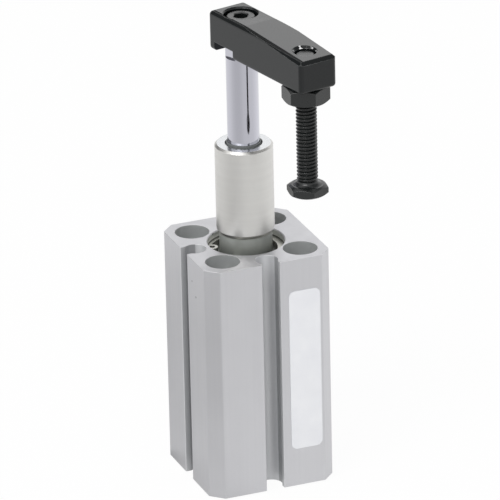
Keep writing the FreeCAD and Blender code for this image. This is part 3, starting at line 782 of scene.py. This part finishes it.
@dataclass
class Thread:
    """A metric screw thread.

    Attributes:
        crest: Radius over the crests.
        depth: Depth of the thread.
        pitch: Rise in one turn.
        runout: Length over which the thread fades at its ends.
        columns: Points in one turn.
        bury: How far the foot of a coil sits in the wall of its hole.
    """

    # Where the root and the crest of one turn start and end, as shares of the pitch, each with its height.
    PROFILE: ClassVar[tuple[tuple[float, float], ...]] = ((0.0, 0.0), (0.22, 0.0), (0.54, 1.0), (0.68, 1.0))
    # Half the width of a coil at its foot and at its tip, as shares of the pitch.
    RIDGE: ClassVar[tuple[float, float]] = (0.42, 0.07)
    # Turns below the lower end from which a rod is wound, so that its thread is whole at that end.
    LEAD: ClassVar[int] = 2

    crest: float
    depth: float
    pitch: float
    runout: float = 0.5
    columns: int = 48
    bury: float = 0.02

    def add_rod(self, mesh: BMesh, low: float, high: float) -> None:
        """Adds a closed threaded rod.

        Args:
            mesh: Mesh that gets the rod.
            low: Lower end in millimetres.
            high: Upper end in millimetres.
        """
        per_turn = len(self.PROFILE)
        rows = per_turn * (math.ceil((high - low) / self.pitch) + self.LEAD + 1)
        grid: list[list[bmesh.types.BMVert]] = []
        for row in range(rows):
            share, rise = self.PROFILE[row % per_turn]
            points = []
            for column in range(self.columns):
                turn = row // per_turn + share + column / self.columns
                level = min(max(low + self.pitch * (turn - self.LEAD), low), high)
                fade = min(1.0, (level - low) / self.runout, (high - level) / self.runout)
                radius = self.crest - self.depth * (1 - rise * fade)
                angle = 2 * math.pi * column / self.columns
                point = Vector((radius * math.cos(angle), radius * math.sin(angle), level))
                points.append(mesh.verts.new(point * MM))
            grid.append(points)
        for row in range(rows - per_turn - 1):
            for column in range(self.columns):
                last = column + 1 == self.columns
                beside, right = (row + per_turn, 0) if last else (row, column + 1)
                mesh.faces.new((grid[row][column], grid[beside][right], grid[beside + 1][right],
                                grid[row + 1][column]))
        loose = [v for v in mesh.verts if not v.link_faces]
        bmesh.ops.delete(mesh, geom=loose, context="VERTS")
        bmesh.ops.remove_doubles(mesh, verts=mesh.verts[:], dist=MERGED)
        rims = [edge for edge in mesh.edges if edge.is_boundary]
        bmesh.ops.holes_fill(mesh, edges=rims, sides=0)

    def add_coil(self, mesh: BMesh, low: float, high: float) -> None:
        """Adds the ridge of a thread cut in a hole, as one closed coil that points inwards.

        Args:
            mesh: Mesh that gets the coil.
            low: Lower end in millimetres.
            high: Upper end in millimetres.
        """
        steps = math.ceil((high - low) / self.pitch * self.columns)
        foot, tip = (share * self.pitch for share in self.RIDGE)
        wall = self.crest + self.bury
        sections: list[Ring] = []
        for step in range(steps + 1):
            angle = 2 * math.pi * step / self.columns
            level = low + self.pitch * step / self.columns
            fade = min(1.0, (step + 1) / self.columns, (steps - step + 1) / self.columns)
            inner = self.crest - self.depth * fade
            spoke = Vector((math.cos(angle), math.sin(angle), 0))
            shape = ((wall, -foot), (inner, -tip), (inner, tip), (wall, foot))
            sections.append([spoke * radius + Vector((0, 0, level + rise)) for radius, rise in shape])
        add_loft(mesh, sections)


def add_object(name: str, data: bpy.types.ID) -> bpy.types.Object:
    """Puts a new object in the scene.

    Args:
        name: Name of the object.
        data: Its mesh, camera or lamp.

    Returns:
        The new object.
    """
    made = bpy.data.objects.new(name, data)
    bpy.context.scene.collection.objects.link(made)
    return made


def make_piece(name: str, fill: Callable[[BMesh], None], finish: Finish, body: Body,
               place: Matrix | None = None, sharp: float = 30.0) -> bpy.types.Object:
    """Makes a new piece that rides on a body.

    Args:
        name: Name of the piece.
        fill: Function that adds the piece's shells to a mesh.
        finish: Finish of its surface.
        body: Body that carries it.
        place: Where the piece's own axes sit in the shared frame, in metres.
        sharp: Angle in degrees above which an edge stays sharp.

    Returns:
        The new object.
    """
    mesh = bmesh.new()
    fill(mesh)
    bmesh.ops.recalc_face_normals(mesh, faces=mesh.faces[:])
    if place:
        mesh.transform(place)
    data = bpy.data.meshes.new(name)
    mesh.to_mesh(data)
    mesh.free()
    data.polygons.foreach_set("use_smooth", [True] * len(data.polygons))
    data.set_sharp_from_angle(angle=math.radians(sharp))
    data.materials.append(finish.material())
    made = add_object(name, data)
    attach(made, body.value)
    LOG.info("piece %s: %d faces, rides on %s", name, len(data.polygons), body.value)
    return made


def soften(piece: bpy.types.Object, width: float, sharp: float = 28.0) -> None:
    """Breaks the sharp edges of a new piece.

    Args:
        piece: Piece whose edges are broken.
        width: Width of the broken edge in millimetres.
        sharp: Angle in degrees above which an edge is broken.
    """
    bevel = piece.modifiers.new("broken_edges", "BEVEL")
    bevel.width = width * MM
    bevel.segments = 2
    bevel.limit_method = "ANGLE"
    bevel.angle_limit = math.radians(sharp)
    bevel.harden_normals = True


def dress_node(frame: Frame, node: str, finishes: Sequence[Finish],
               rule: Callable[[Vector, Vector], Finish] | None = None) -> None:
    """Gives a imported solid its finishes.

    Args:
        frame: The loaded frame.
        node: Name of the solid.
        finishes: Its finishes, the main one first.
        rule: Picks one of them from a face's centre in millimetres and its normal.
    """
    data = frame["nodes"][node].data
    data.materials.clear()
    for finish in finishes:
        data.materials.append(finish.material())
    for face in data.polygons:
        face.material_index = finishes.index(rule(face.center / MM, face.normal)) if rule else 0
    LOG.info("solid %s: %s", node, ", ".join(finish.name for finish in finishes))


@dataclass
class CylinderBody:
    """Square extruded body with its label and air ports.

    Attributes:
        height: Height of the body.
        half_side: Distance of its faces from the rod axis.
        face_slack: Depth below a face from which a surface is no longer that face.
        level_from: Upward share of the normal from which a surface counts as an end face.
        broken_edge: Depth to which the ends' broken edges reach.
        hole_offset: Distance of the corner holes from the rod axis along each side.
        hole_reach: Radius round a corner hole's axis that holds its walls.
        hole_margin: Depth below a side face from which a surface belongs to a hole.
        bore_reach: Radius round the rod axis that holds the bore's walls.
        groove_reach: Distance from the middle of a side that holds its groove.
        groove_lean: Outward share of the normal below which a surface is a groove's side.
        port_levels: Heights of the air ports.
        port_radius: Radius of a port's tapped hole.
        port_depth: Depth of that hole.
        port_reach: Radius round a port's axis that holds its walls.
        port_floor: Distance from the rod axis at which a port's passage starts.
        port_thread_depth: Depth of a port's thread.
        port_pitch: Rise of that thread in one turn.
        port_margin: Length at each end of the tapped hole that is free of thread.
    """

    height: float = 46.0
    half_side: float = 12.5
    face_slack: float = 0.01
    level_from: float = 0.5
    broken_edge: float = 0.25
    hole_offset: float = 7.75
    hole_reach: float = 3.6
    hole_margin: float = 0.6
    bore_reach: float = 7.6
    groove_reach: float = 2.3
    groove_lean: float = 0.4
    port_levels: tuple[float, float] = (6.1, 35.0)
    port_radius: float = 2.1
    port_depth: float = 4.5
    port_reach: float = 2.6
    port_floor: float = 6.0
    port_thread_depth: float = 0.28
    port_pitch: float = 0.8
    port_margin: float = 0.5

    def surface(self, centre: Vector, normal: Vector) -> Finish:
        """Tells which finish a face of the body has from the tool that made it.

        Args:
            centre: Middle of the face in millimetres.
            normal: Its normal.

        Returns:
            The finish.
        """
        across, reach = sorted((abs(centre.x), abs(centre.y)))
        below_face = self.half_side - self.face_slack
        if abs(normal.z) > self.level_from and min(centre.z, self.height - centre.z) < self.broken_edge:
            return END_FACE
        if centre.xy.length < self.bore_reach:
            return BORE
        near_hole = math.hypot(across - self.hole_offset, reach - self.hole_offset) < self.hole_reach
        if near_hole and reach < self.half_side - self.hole_margin:
            return BORED
        level = min(abs(centre.z - port) for port in self.port_levels)
        if self.port_floor < centre.y < below_face and math.hypot(centre.x, level) < self.port_reach:
            return BORED
        if across > self.groove_reach or reach > below_face:
            return SKIN
        outwards = -normal.y if abs(centre.y) > abs(centre.x) else -normal.x
        return GROOVE_SIDE_SHADED if outwards < self.groove_lean else GROOVE

    def port_thread(self, number: int, level: float) -> None:
        """Adds the thread ridge in one air port.

        Args:
            number: Number of the port, from the bottom.
            level: Its height in millimetres.
        """
        thread = Thread(self.port_radius, self.port_thread_depth, self.port_pitch)
        start, end = self.port_margin, self.port_depth - self.port_margin
        mouth = Matrix.Translation(Vector((0, self.half_side, level)) * MM)
        inward = mouth @ Matrix.Rotation(math.pi / 2, 4, "X")
        make_piece(f"port_thread_{number}", lambda mesh: thread.add_coil(mesh, start, end), BORED, Body.CYLINDER,
                   inward)

    def build(self, frame: Frame) -> None:
        """Dresses the body and its label and cuts the port threads.

        Args:
            frame: The loaded frame.
        """
        dress_node(frame, "cylinder_body", (SKIN, END_FACE, BORED, GROOVE, BORE, GROOVE_SIDE_SHADED), self.surface)
        dress_node(frame, "label", (FILM,))
        for number, level in enumerate(self.port_levels, 1):
            self.port_thread(number, level)


@dataclass
class RodCover:
    """Rod cover with its long neck, and the rear cover, rings, bush, pins and seals.

    Attributes:
        shank_top: Height of the step from the shank to the neck.
        level_from: Upward share of the normal from which a surface counts as level.
        finishes: Finishes of the pieces that the covers hold, by node.
    """

    shank_top: float = 48.3
    level_from: float = 0.9
    finishes: dict[str, Finish] = field(default_factory=lambda: {
        "rear_cover": NECK, "front_retaining_ring": CLIP, "rear_retaining_ring": CLIP, "rod_cover_oring": SEAL,
        "rear_cover_oring": SEAL, "rod_packing": WIPER, "rod_bush": BRONZE, "guide_pins": PIN,
        "rear_bumper": BUMPER})

    def surface(self, centre: Vector, normal: Vector) -> Finish:
        """Tells how a face of the rod cover was left.

        Args:
            centre: Middle of the face in millimetres.
            normal: Its normal.

        Returns:
            The finish: of the neck's side and top, of the shank with its painted shade, or of the flange under the ring
                painted near black as shade.
        """
        level = normal.z > self.level_from
        if centre.z > self.shank_top:
            return FACED if level else NECK
        return FLANGE_SHADE if level else SHANK

    def build(self, frame: Frame) -> None:
        """Dresses the covers and what they hold.

        Args:
            frame: The loaded frame.
        """
        dress_node(frame, "rod_cover", (NECK, SHANK, FLANGE_SHADE, FACED), self.surface)
        for node, finish in self.finishes.items():
            dress_node(frame, node, (finish,))


@dataclass
class PistonRod:
    """Chromed rod with the piston inside the bore.

    Attributes:
        finishes: Finishes of the pieces, by node.
    """

    finishes: dict[str, Finish] = field(default_factory=lambda: {
        "piston_rod": ROD, "piston_rear": PISTON, "piston_front": PISTON, "piston_magnet": MAGNET,
        "spigot_oring": SEAL, "piston_seal": SEAL, "wear_ring": RESIN, "front_bumper": BUMPER,
        "piston_screw": FASTENER})

    def build(self, frame: Frame) -> None:
        """Dresses the rod and the pieces of the piston."""
        for node, finish in self.finishes.items():
            dress_node(frame, node, (finish,))


@dataclass
class ClampArm:
    """Blackened arm with the knurled cap screw that holds it on the rod.

    Attributes:
        planed_from: Upward share of the normal from which a surface is the planed top.
        rim_from: Upward share of the normal from which a surface may be the tapped hole's rim.
        rim_reach: Radius round the tapped hole's axis that holds its rim.
        seat: Height of the screw head's seat.
        head_radius: Radius of the head over its knurls.
        head: Height of the head.
        head_chamfer: Width of the chamfer under the head.
        head_round: Radius of the rounding at the head's top.
        round_steps: Facets of that rounding.
        knurls: Number of knurls.
        knurl_depth: Depth of a knurl.
        knurl_low: Height of the knurls' lower end above the seat.
        knurl_high: Distance of the knurls' upper end below the rounding.
        socket: Width of the socket across flats.
        socket_depth: Depth of the socket.
        mouth: Width and depth of the bevel round the socket's mouth.
        drill_gap: Distance of the socket's drilled bottom from its flats.
        drill_step: Height of the step from the flats to the drilled bottom.
        drill_cone: Height of the drilled cone.
        drill_tip: Radius of the cone's tip.
        shank_radius: Radius over the screw's thread.
        thread_depth: Depth of the thread.
        thread_columns: Points in one turn of the thread.
        pitch: Rise of the thread in one turn.
        reach: Length of the shank below the seat.
        bury: How far the shank goes up into the head.
    """

    planed_from: float = 0.99
    rim_from: float = 0.2
    rim_reach: float = 2.6
    seat: float = 87.85
    head_radius: float = 2.75
    head: float = 3.0
    head_chamfer: float = 0.15
    head_round: float = 0.35
    round_steps: int = 4
    knurls: int = 32
    knurl_depth: float = 0.07
    knurl_low: float = 0.3
    knurl_high: float = 0.15
    socket: float = 2.5
    socket_depth: float = 1.5
    mouth: tuple[float, float] = (0.1, 0.12)
    drill_gap: float = 0.06
    drill_step: float = 0.05
    drill_cone: float = 0.2
    drill_tip: float = 0.05
    shank_radius: float = 1.5
    thread_depth: float = 0.28
    thread_columns: int = 32
    pitch: float = 0.5
    reach: float = 8.0
    bury: float = 0.1

    def surface(self, centre: Vector, normal: Vector) -> Finish:
        """Tells how a face of the arm was made.

        Args:
            centre: Middle of the face in millimetres.
            normal: Its normal.

        Returns:
            The finish: of the bar's own skin, of the planed top, or of the tapped hole's rim.
        """
        if normal.z > self.planed_from:
            return PLANED
        rim = normal.z > self.rim_from and math.dist(centre.xy, BOLT_AXIS) < self.rim_reach
        return RIM if rim else ARM

    def knurl_ring(self, level: float, columns: int) -> Ring:
        """Points of the knurled side at one level.

        Args:
            level: Height in millimetres.
            columns: Number of points.

        Returns:
            The points, in millimetres.
        """
        ring = []
        for i, point in enumerate(turned_ring(self.head_radius, level, columns)):
            wave = 0.5 - 0.5 * math.cos(2 * math.pi * i * self.knurls / columns)
            shrink = 1 - self.knurl_depth * wave / self.head_radius
            ring.append(Vector((point.x * shrink, point.y * shrink, level)))
        return ring

    def fill_screw(self, mesh: BMesh) -> None:
        """Adds the screw's knurled head with its socket, and its threaded shank.

        Args:
            mesh: Mesh that gets the shells.
        """
        thread = Thread(self.shank_radius, self.thread_depth, self.pitch, columns=self.thread_columns)
        thread.add_rod(mesh, self.seat - self.reach, self.seat + self.bury)
        columns = 6 * self.knurls
        top = self.seat + self.head
        rings = [turned_ring(self.head_radius - self.head_chamfer, self.seat, columns),
                 self.knurl_ring(self.seat + self.knurl_low, columns),
                 self.knurl_ring(top - self.head_round - self.knurl_high, columns)]
        for step in range(self.round_steps + 1):
            angle = math.pi / 2 * step / self.round_steps
            rings.append(turned_ring(self.head_radius - self.head_round * (1 - math.cos(angle)),
                                     top - self.head_round * (1 - math.sin(angle)), columns))
        corner = self.socket / math.sqrt(3)
        floor = top - self.socket_depth
        widened, sunk = self.mouth
        rings += [turned_ring(corner + widened, top, columns),
                  hexagon_ring(self.socket, top - sunk, columns),
                  hexagon_ring(self.socket, floor + self.drill_cone + self.drill_step, columns),
                  turned_ring(self.socket / 2 - self.drill_gap, floor + self.drill_cone, columns),
                  turned_ring(self.drill_tip, floor, columns)]
        add_loft(mesh, rings)

    def build(self, frame: Frame) -> None:
        """Dresses the arm and makes its screw.

        Args:
            frame: The loaded frame.
        """
        dress_node(frame, "clamp_arm", (ARM, PLANED, RIM), self.surface)
        dress_node(frame, "arm_screw", (FASTENER,))
        screw = make_piece("arm_cap_screw", self.fill_screw, FASTENER, Body.ROD)
        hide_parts("arm_screw")


@dataclass
class ClampBolt:
    """Hexagon bolt that hangs head down from the arm, with its lock nut.

    Attributes:
        crest: Radius over the thread.
        depth: Depth of the thread.
        pitch: Rise of the thread in one turn.
        runout: Length over which the thread fades at its ends.
        end: Height of the bolt's upper end.
        thread_start: Height of the thread's lower end above the head.
        head_across: Width of the head across flats.
        head_low: Height of the head's lower face.
        head_high: Height of the head's upper face.
        head_turn: Angle of the head's first corner in degrees.
        head_crown: Radius of the head's crown, as a share of half its width.
        neck: Height of the smooth neck above the head.
        neck_tip: Height of the neck's tapered upper end.
        neck_gap: How far the neck stays below the crests and above the roots.
        fillet: Width of the fillet between head and neck.
        fillet_steps: Facets of that fillet.
        bury: How far the neck goes down into the head.
        nut_across: Width of the nut across flats.
        nut_low: Height of the nut's lower face.
        nut_high: Height of its upper face.
        nut_turn: Angle of the nut's first corner in degrees.
        nut_crown: Radius of the nut's crown, as a share of half its width.
        nut_bore: Radius of the nut's bore.
        nut_sink: Width and depth of the bore's countersinks.
        crown_slope: Slope of the crowns.
        columns: Points round a hexagon or neck.
        bolt_break: Width of the bolt's broken edges.
        nut_break: Width of the nut's broken edges.
    """

    crest: float = 1.95
    depth: float = 0.4
    pitch: float = 0.7
    runout: float = 0.6
    end: float = 89.8
    thread_start: float = 0.4
    head_across: float = 6.8
    head_low: float = 62.35
    head_high: float = 64.35
    head_turn: float = 25.8
    head_crown: float = 0.88
    neck: float = 0.9
    neck_tip: float = 0.2
    neck_gap: float = 0.04
    fillet: float = 0.75
    fillet_steps: int = 4
    bury: float = 0.2
    nut_across: float = 7.8
    nut_low: float = 80.7
    nut_high: float = 83.85
    nut_turn: float = 30.7
    nut_crown: float = 0.95
    nut_bore: float = 2.0
    nut_sink: float = 0.25
    crown_slope: float = 0.58
    columns: int = 72
    bolt_break: float = 0.06
    nut_break: float = 0.08

    def hexagon(self, across: float, low: float, high: float, turn: float, crown: float) -> list[Ring]:
        """Rings of a hexagon crowned at both ends.

        Args:
            across: Width across flats in millimetres.
            low: Height of its lower face in millimetres.
            high: Height of its upper face in millimetres.
            turn: Angle of the first corner in degrees.
            crown: Radius of the crowns, as a share of half the width.

        Returns:
            The rings, from the lower face to the upper.
        """
        circle = across / 2 * crown
        return [turned_ring(circle, low, self.columns, turn),
                hexagon_ring(across, low, self.columns, turn, -self.crown_slope, circle),
                hexagon_ring(across, high, self.columns, turn, self.crown_slope, circle),
                turned_ring(circle, high, self.columns, turn)]

    def fill_bolt(self, mesh: BMesh) -> None:
        """Adds the bolt's threaded shank, smooth neck and crowned head.

        Args:
            mesh: Mesh that gets the shells.
        """
        thread = Thread(self.crest, self.depth, self.pitch, self.runout)
        thread.add_rod(mesh, self.head_high + self.thread_start, self.end)
        rings = [turned_ring(self.crest + self.fillet, self.head_high - self.bury, self.columns)]
        for step in range(self.fillet_steps + 1):
            share = step / self.fillet_steps
            rings.append(turned_ring(self.crest - self.neck_gap + self.fillet * (1 - share) ** 2,
                                     self.head_high + (self.neck - self.neck_tip) * share, self.columns))
        root = self.crest - self.depth
        rings.append(turned_ring(root + self.neck_gap, self.head_high + self.neck, self.columns))
        add_loft(mesh, rings)
        add_loft(mesh, self.hexagon(self.head_across, self.head_low, self.head_high, self.head_turn, self.head_crown))

    def fill_nut(self, mesh: BMesh) -> None:
        """Adds the crowned nut with its countersunk bore.

        Args:
            mesh: Mesh that gets the shell.
        """
        wide = self.nut_bore + self.nut_sink
        low = [turned_ring(self.nut_bore, self.nut_low + self.nut_sink, self.columns, self.nut_turn),
               turned_ring(wide, self.nut_low, self.columns, self.nut_turn)]
        high = [turned_ring(wide, self.nut_high, self.columns, self.nut_turn),
                turned_ring(self.nut_bore, self.nut_high - self.nut_sink, self.columns, self.nut_turn)]
        sides = self.hexagon(self.nut_across, self.nut_low, self.nut_high, self.nut_turn, self.nut_crown)
        add_loft(mesh, low + sides + high, closed=True)

    def build(self, frame: Frame) -> None:
        """Makes the bolt and its nut.

        Args:
            frame: The loaded frame.
        """
        place = Matrix.Translation(Vector((*BOLT_AXIS, 0)) * MM)
        bolt = make_piece("hexagon_clamp_bolt", self.fill_bolt, FASTENER, Body.CLAMP_BOLT, place)
        soften(bolt, self.bolt_break)
        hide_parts("clamp_bolt")
        nut = make_piece("hexagon_lock_nut", self.fill_nut, FASTENER, Body.ROD, place)
        soften(nut, self.nut_break)
        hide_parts("lock_nut")
        for node in ("clamp_bolt", "lock_nut"):
            dress_node(frame, node, (FASTENER,))


@dataclass(frozen=True)
class Card:
    """A card that only mirrors see: dark to flag off part of the room, bright as a small soft box.

    Attributes:
        name: Name of the card.
        heading: Direction of its middle from the middle of the arm, in degrees from +X towards +Y.
        rise: Height of its middle above the horizon, in degrees.
        distance: Distance of its middle in millimetres.
        size: Width and height in millimetres.
        glow: Its light; 1 is the white of the room.
    """

    name: str
    heading: float
    rise: float
    distance: float
    size: tuple[float, float]
    glow: float


@dataclass
class Studio:
    """White studio table with soft light and a long-lens camera.

    Attributes:
        azimuth: Heading of the camera in degrees.
        elevation: Height of the camera above the horizon in degrees.
        roll: Turn of the picture in degrees.
        distance: Distance of the camera from its target in millimetres.
        target: Point that the camera and the lamp look at, in millimetres.
        focal_share: Focal length as a share of the picture's side.
        shift: Shift of the picture as shares of its side.
        sensor: Width of the sensor in millimetres.
        clip: Nearest and farthest distance that the camera sees, in metres.
        columns: Points round the floor and the table's discs.
        floor_level: Height of the floor in millimetres, a hair below the cylinder.
        floor_radius: Radius of the floor in millimetres.
        floor_colour: Colour of the floor where light falls on it.
        daylight: Strength of the even light.
        shadow_share: Share of the floor's own shading that shows.
        table_headings: Headings of the table's tones, as shares of a turn.
        table_rings: Radius in millimetres and tones of each disc of the table, the widest first; the tones are the
            room's light and shade painted as the mirrors see it, and the smallest disc is a painted shadow round the
            cylinder's foot.
        card_centre: Point that the cards hang round, in millimetres.
        cards: The cards.
        lamp_place: Where the soft box hangs, in millimetres.
        lamp_size: Width of the soft box in millimetres.
        lamp_power: Its power in watts.
    """

    azimuth: float = -21.293
    elevation: float = 23.213
    roll: float = -1.327
    distance: float = 1200.0
    target: Triple = (0.0, 0.0, 45.0)
    focal_share: float = 6437.868 / PICTURE
    shift: tuple[float, float] = (3.977 / PICTURE, -5.25 / PICTURE)
    sensor: float = 36.0
    clip: tuple[float, float] = (0.01, 20.0)
    columns: int = 96
    floor_level: float = -0.4
    floor_radius: float = 3000.0
    floor_colour: str = "#f4f4f4"
    daylight: float = 0.75
    shadow_share: float = 0.05
    table_headings: tuple[float, ...] = (0.0, 0.06, 0.13, 0.21, 0.31, 0.39, 0.52, 0.69, 0.8, 0.9, 0.955, 1.0)
    table_rings: tuple[tuple[float, tuple[float, ...]], ...] = (
        (700.0, (0.74, 0.68, 0.675, 0.77, 0.8, 0.83, 1.0, 1.0, 0.94, 0.9, 0.82, 0.74)),
        (160.0, (0.75, 0.73, 0.76, 0.8, 0.815, 0.82, 0.85, 0.86, 0.84, 0.8, 0.77, 0.75)),
        (112.0, (0.48, 0.38, 0.56, 0.76, 0.76, 0.8, 0.92, 0.9, 0.55, 0.68, 0.65, 0.48)),
        (60.0, (0.72, 0.69, 0.72, 0.81, 0.87, 0.86, 0.92, 0.9, 0.6, 0.7, 0.8, 0.72)),
        (18.0, (0.65, 0.65, 0.7, 0.8, 0.86, 0.85, 0.85, 0.7, 0.4, 0.5, 0.6, 0.65)))
    card_centre: Triple = (1.3, -6.0, 91.0)
    cards: tuple[Card, ...] = (Card("flag_left", 117, 27, 750, (850, 600), 0.2),
                               Card("flag_right", -20, 48, 800, (1000, 700), 0.35),
                               Card("small_soft_box", 67, 27.4, 172, (80, 45), 1.8))
    lamp_place: Triple = (-700, -500, 900)
    lamp_size: float = 600
    lamp_power: float = 6

    def camera(self) -> None:
        """Sets the camera where the photograph was taken from."""
        a, e, r = (math.radians(v) for v in (self.azimuth, self.elevation, self.roll))
        back = Vector((math.sin(a) * math.cos(e), -math.cos(a) * math.cos(e), math.sin(e)))
        level = Vector((math.cos(a), math.sin(a), 0))
        rise = back.cross(level)
        right = math.cos(r) * level + math.sin(r) * rise
        up = back.cross(right)
        data = bpy.data.cameras.new("long_lens")
        data.sensor_width = self.sensor
        data.lens = self.sensor * self.focal_share
        data.shift_x, data.shift_y = self.shift
        data.clip_start, data.clip_end = self.clip
        made = add_object("long_lens", data)
        turn = Matrix((right, up, back)).transposed().to_4x4()
        made.matrix_world = Matrix.Translation((Vector(self.target) + back * self.distance) * MM) @ turn
        bpy.context.scene.camera = made

    def empty_tree(self, owner: bpy.types.Material | bpy.types.World) -> Tree:
        """Gives a material or world a node tree without nodes.

        Args:
            owner: Material or world.

        Returns:
            Its node tree.
        """
        owner.use_nodes = True
        owner.node_tree.nodes.clear()
        return owner.node_tree

    def mirrored(self, tree: Tree) -> Socket:
        """Tells rays that see the background from rays that only carry light.

        Args:
            tree: Node tree of a world or material.

        Returns:
            1 for camera, glossy and transmission rays, else 0.
        """
        rays = add_node(tree, "ShaderNodeLightPath").outputs
        share = rays["Is Camera Ray"]
        for ray in ("Is Glossy Ray", "Is Transmission Ray"):
            share = add_node(tree, "ShaderNodeMath", {"operation": "MAXIMUM"}, {0: share, 1: rays[ray]}).outputs[0]
        return share

    def world(self) -> None:
        """Makes the white surroundings and their even light."""
        world = bpy.data.worlds.new("studio")
        tree = self.empty_tree(world)
        seen, lit = (add_node(tree, "ShaderNodeBackground", {"Color": linear(WHITE), "Strength": strength})
                     for strength in (1.0, self.daylight))
        links: Links = {0: self.mirrored(tree), 1: lit.outputs[0], 2: seen.outputs[0]}
        both = add_node(tree, "ShaderNodeMixShader", {}, links)
        add_node(tree, "ShaderNodeOutputWorld", {}, {"Surface": both.outputs[0]})
        bpy.context.scene.world = world

    def sheet(self, name: str, outline: Sequence[Vector]) -> bpy.types.Object:
        """Makes a flat sheet of the stage.

        Args:
            name: Name of the sheet.
            outline: Its corners in millimetres.

        Returns:
            The new object.
        """
        mesh = bmesh.new()
        mesh.faces.new([mesh.verts.new(corner * MM) for corner in outline])
        data = bpy.data.meshes.new(name)
        mesh.to_mesh(data)
        mesh.free()
        made = add_object(name, data)
        return made

    def floor(self) -> None:
        """Lays the white floor, which keeps a faint shadow and can be looked through from below."""
        sheet = self.sheet("floor", turned_ring(self.floor_radius, self.floor_level, self.columns))
        paper = bpy.data.materials.new("studio_paper_white")
        tree = self.empty_tree(paper)
        white = add_node(tree, "ShaderNodeEmission", {"Color": linear(WHITE), "Strength": 1.0})
        lit = add_node(tree, "ShaderNodeBsdfDiffuse", {"Color": linear(self.floor_colour)})
        share = add_node(tree, "ShaderNodeMath", {"operation": "MULTIPLY", 1: 1 - self.shadow_share},
                         {0: self.mirrored(tree)})
        links: Links = {0: share.outputs[0], 1: lit.outputs[0], 2: white.outputs[0]}
        top = add_node(tree, "ShaderNodeMixShader", {}, links)
        clear = add_node(tree, "ShaderNodeBsdfTransparent")
        below = add_node(tree, "ShaderNodeNewGeometry").outputs["Backfacing"]
        both = add_node(tree, "ShaderNodeMixShader", {}, {0: below, 1: top.outputs[0], 2: clear.outputs[0]})
        add_node(tree, "ShaderNodeOutputMaterial", {}, {"Surface": both.outputs[0]})
        sheet.data.materials.append(paper)

    def only_mirrored(self, sheet: bpy.types.Object) -> None:
        """Hides a sheet from all but glossy rays."""
        for ray in ("camera", "diffuse", "transmission", "volume_scatter", "shadow"):
            setattr(sheet, f"visible_{ray}", False)

    def grey_table(self) -> None:
        """Lays grey discs that only mirrors see, as the table shows in chrome and satin metal."""
        for number, (radius, tones) in enumerate(self.table_rings, 1):
            # Each disc lies a hair above the wider one.
            level = self.floor_level * (1 - number / (len(self.table_rings) + 1))
            sheet = self.sheet(f"grey_table_{number}", turned_ring(radius, level, self.columns))
            grey = bpy.data.materials.new(f"studio_card_grey_{number}")
            tree = self.empty_tree(grey)
            spot = add_node(tree, "ShaderNodeTexCoord").outputs["Object"]
            heading = add_node(tree, "ShaderNodeTexGradient", {"gradient_type": "RADIAL"}, {"Vector": spot})
            ramp = add_node(tree, "ShaderNodeValToRGB", {}, {"Fac": heading.outputs["Fac"]})
            stops = ramp.color_ramp.elements
            # A new stop starts anywhere between the two that are there, and then gets its own heading.
            while len(stops) < len(tones):
                stops.new(0.5)
            for stop, at, tone in zip(stops, self.table_headings, tones):
                stop.position = at
                stop.color = (tone, tone, tone, 1)
            glow = add_node(tree, "ShaderNodeEmission", {"Strength": 1.0}, {"Color": ramp.outputs["Color"]})
            add_node(tree, "ShaderNodeOutputMaterial", {}, {"Surface": glow.outputs[0]})
            sheet.data.materials.append(grey)
            self.only_mirrored(sheet)

    def hang(self, card: Card) -> None:
        """Hangs a card so that it faces the middle of the arm.

        Args:
            card: The card.
        """
        a, e = math.radians(card.heading), math.radians(card.rise)
        away = Vector((math.cos(a) * math.cos(e), math.sin(a) * math.cos(e), math.sin(e)))
        turn = (-away).to_track_quat("Z", "Y").to_matrix().to_4x4()
        place = Matrix.Translation(Vector(self.card_centre) + away * card.distance) @ turn
        wide, high = (side / 2 for side in card.size)
        outline = ((-wide, -high, 0), (wide, -high, 0), (wide, high, 0), (-wide, high, 0))
        sheet = self.sheet(card.name, [place @ Vector(corner) for corner in outline])
        paper = bpy.data.materials.new(f"studio_{card.name}")
        tree = self.empty_tree(paper)
        light = add_node(tree, "ShaderNodeEmission", {"Color": linear(WHITE), "Strength": card.glow})
        add_node(tree, "ShaderNodeOutputMaterial", {}, {"Surface": light.outputs[0]})
        sheet.data.materials.append(paper)
        self.only_mirrored(sheet)

    def lamp(self) -> None:
        """Hangs a soft box that points at the cylinder."""
        data = bpy.data.lights.new("soft_box_left", "AREA")
        data.shape = "SQUARE"
        data.size = self.lamp_size * MM
        data.energy = self.lamp_power
        made = add_object("soft_box_left", data)
        place = Vector(self.lamp_place)
        turn = (place - Vector(self.target)).to_track_quat("Z", "Y").to_matrix().to_4x4()
        made.matrix_world = Matrix.Translation(place * MM) @ turn

    def build(self) -> None:
        """Sets up camera, surroundings, floor, table, cards and lamp."""
        bpy.context.scene.view_settings.view_transform = "Standard"
        self.camera()
        self.world()
        self.floor()
        self.grey_table()
        for card in self.cards:
            self.hang(card)
        self.lamp()
        LOG.info("studio: camera, floor, table, cards and a soft box")


def main() -> None:
    """Builds the studio and dresses the cylinder's parts in order."""
    logging.basicConfig(level=logging.INFO, format="%(name)s %(message)s")
    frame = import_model()
    Studio().build()
    for part in (CylinderBody(), RodCover(), PistonRod(), ClampArm(), ClampBolt()):
        part.build(frame)


if __name__ == "__main__":
    main()
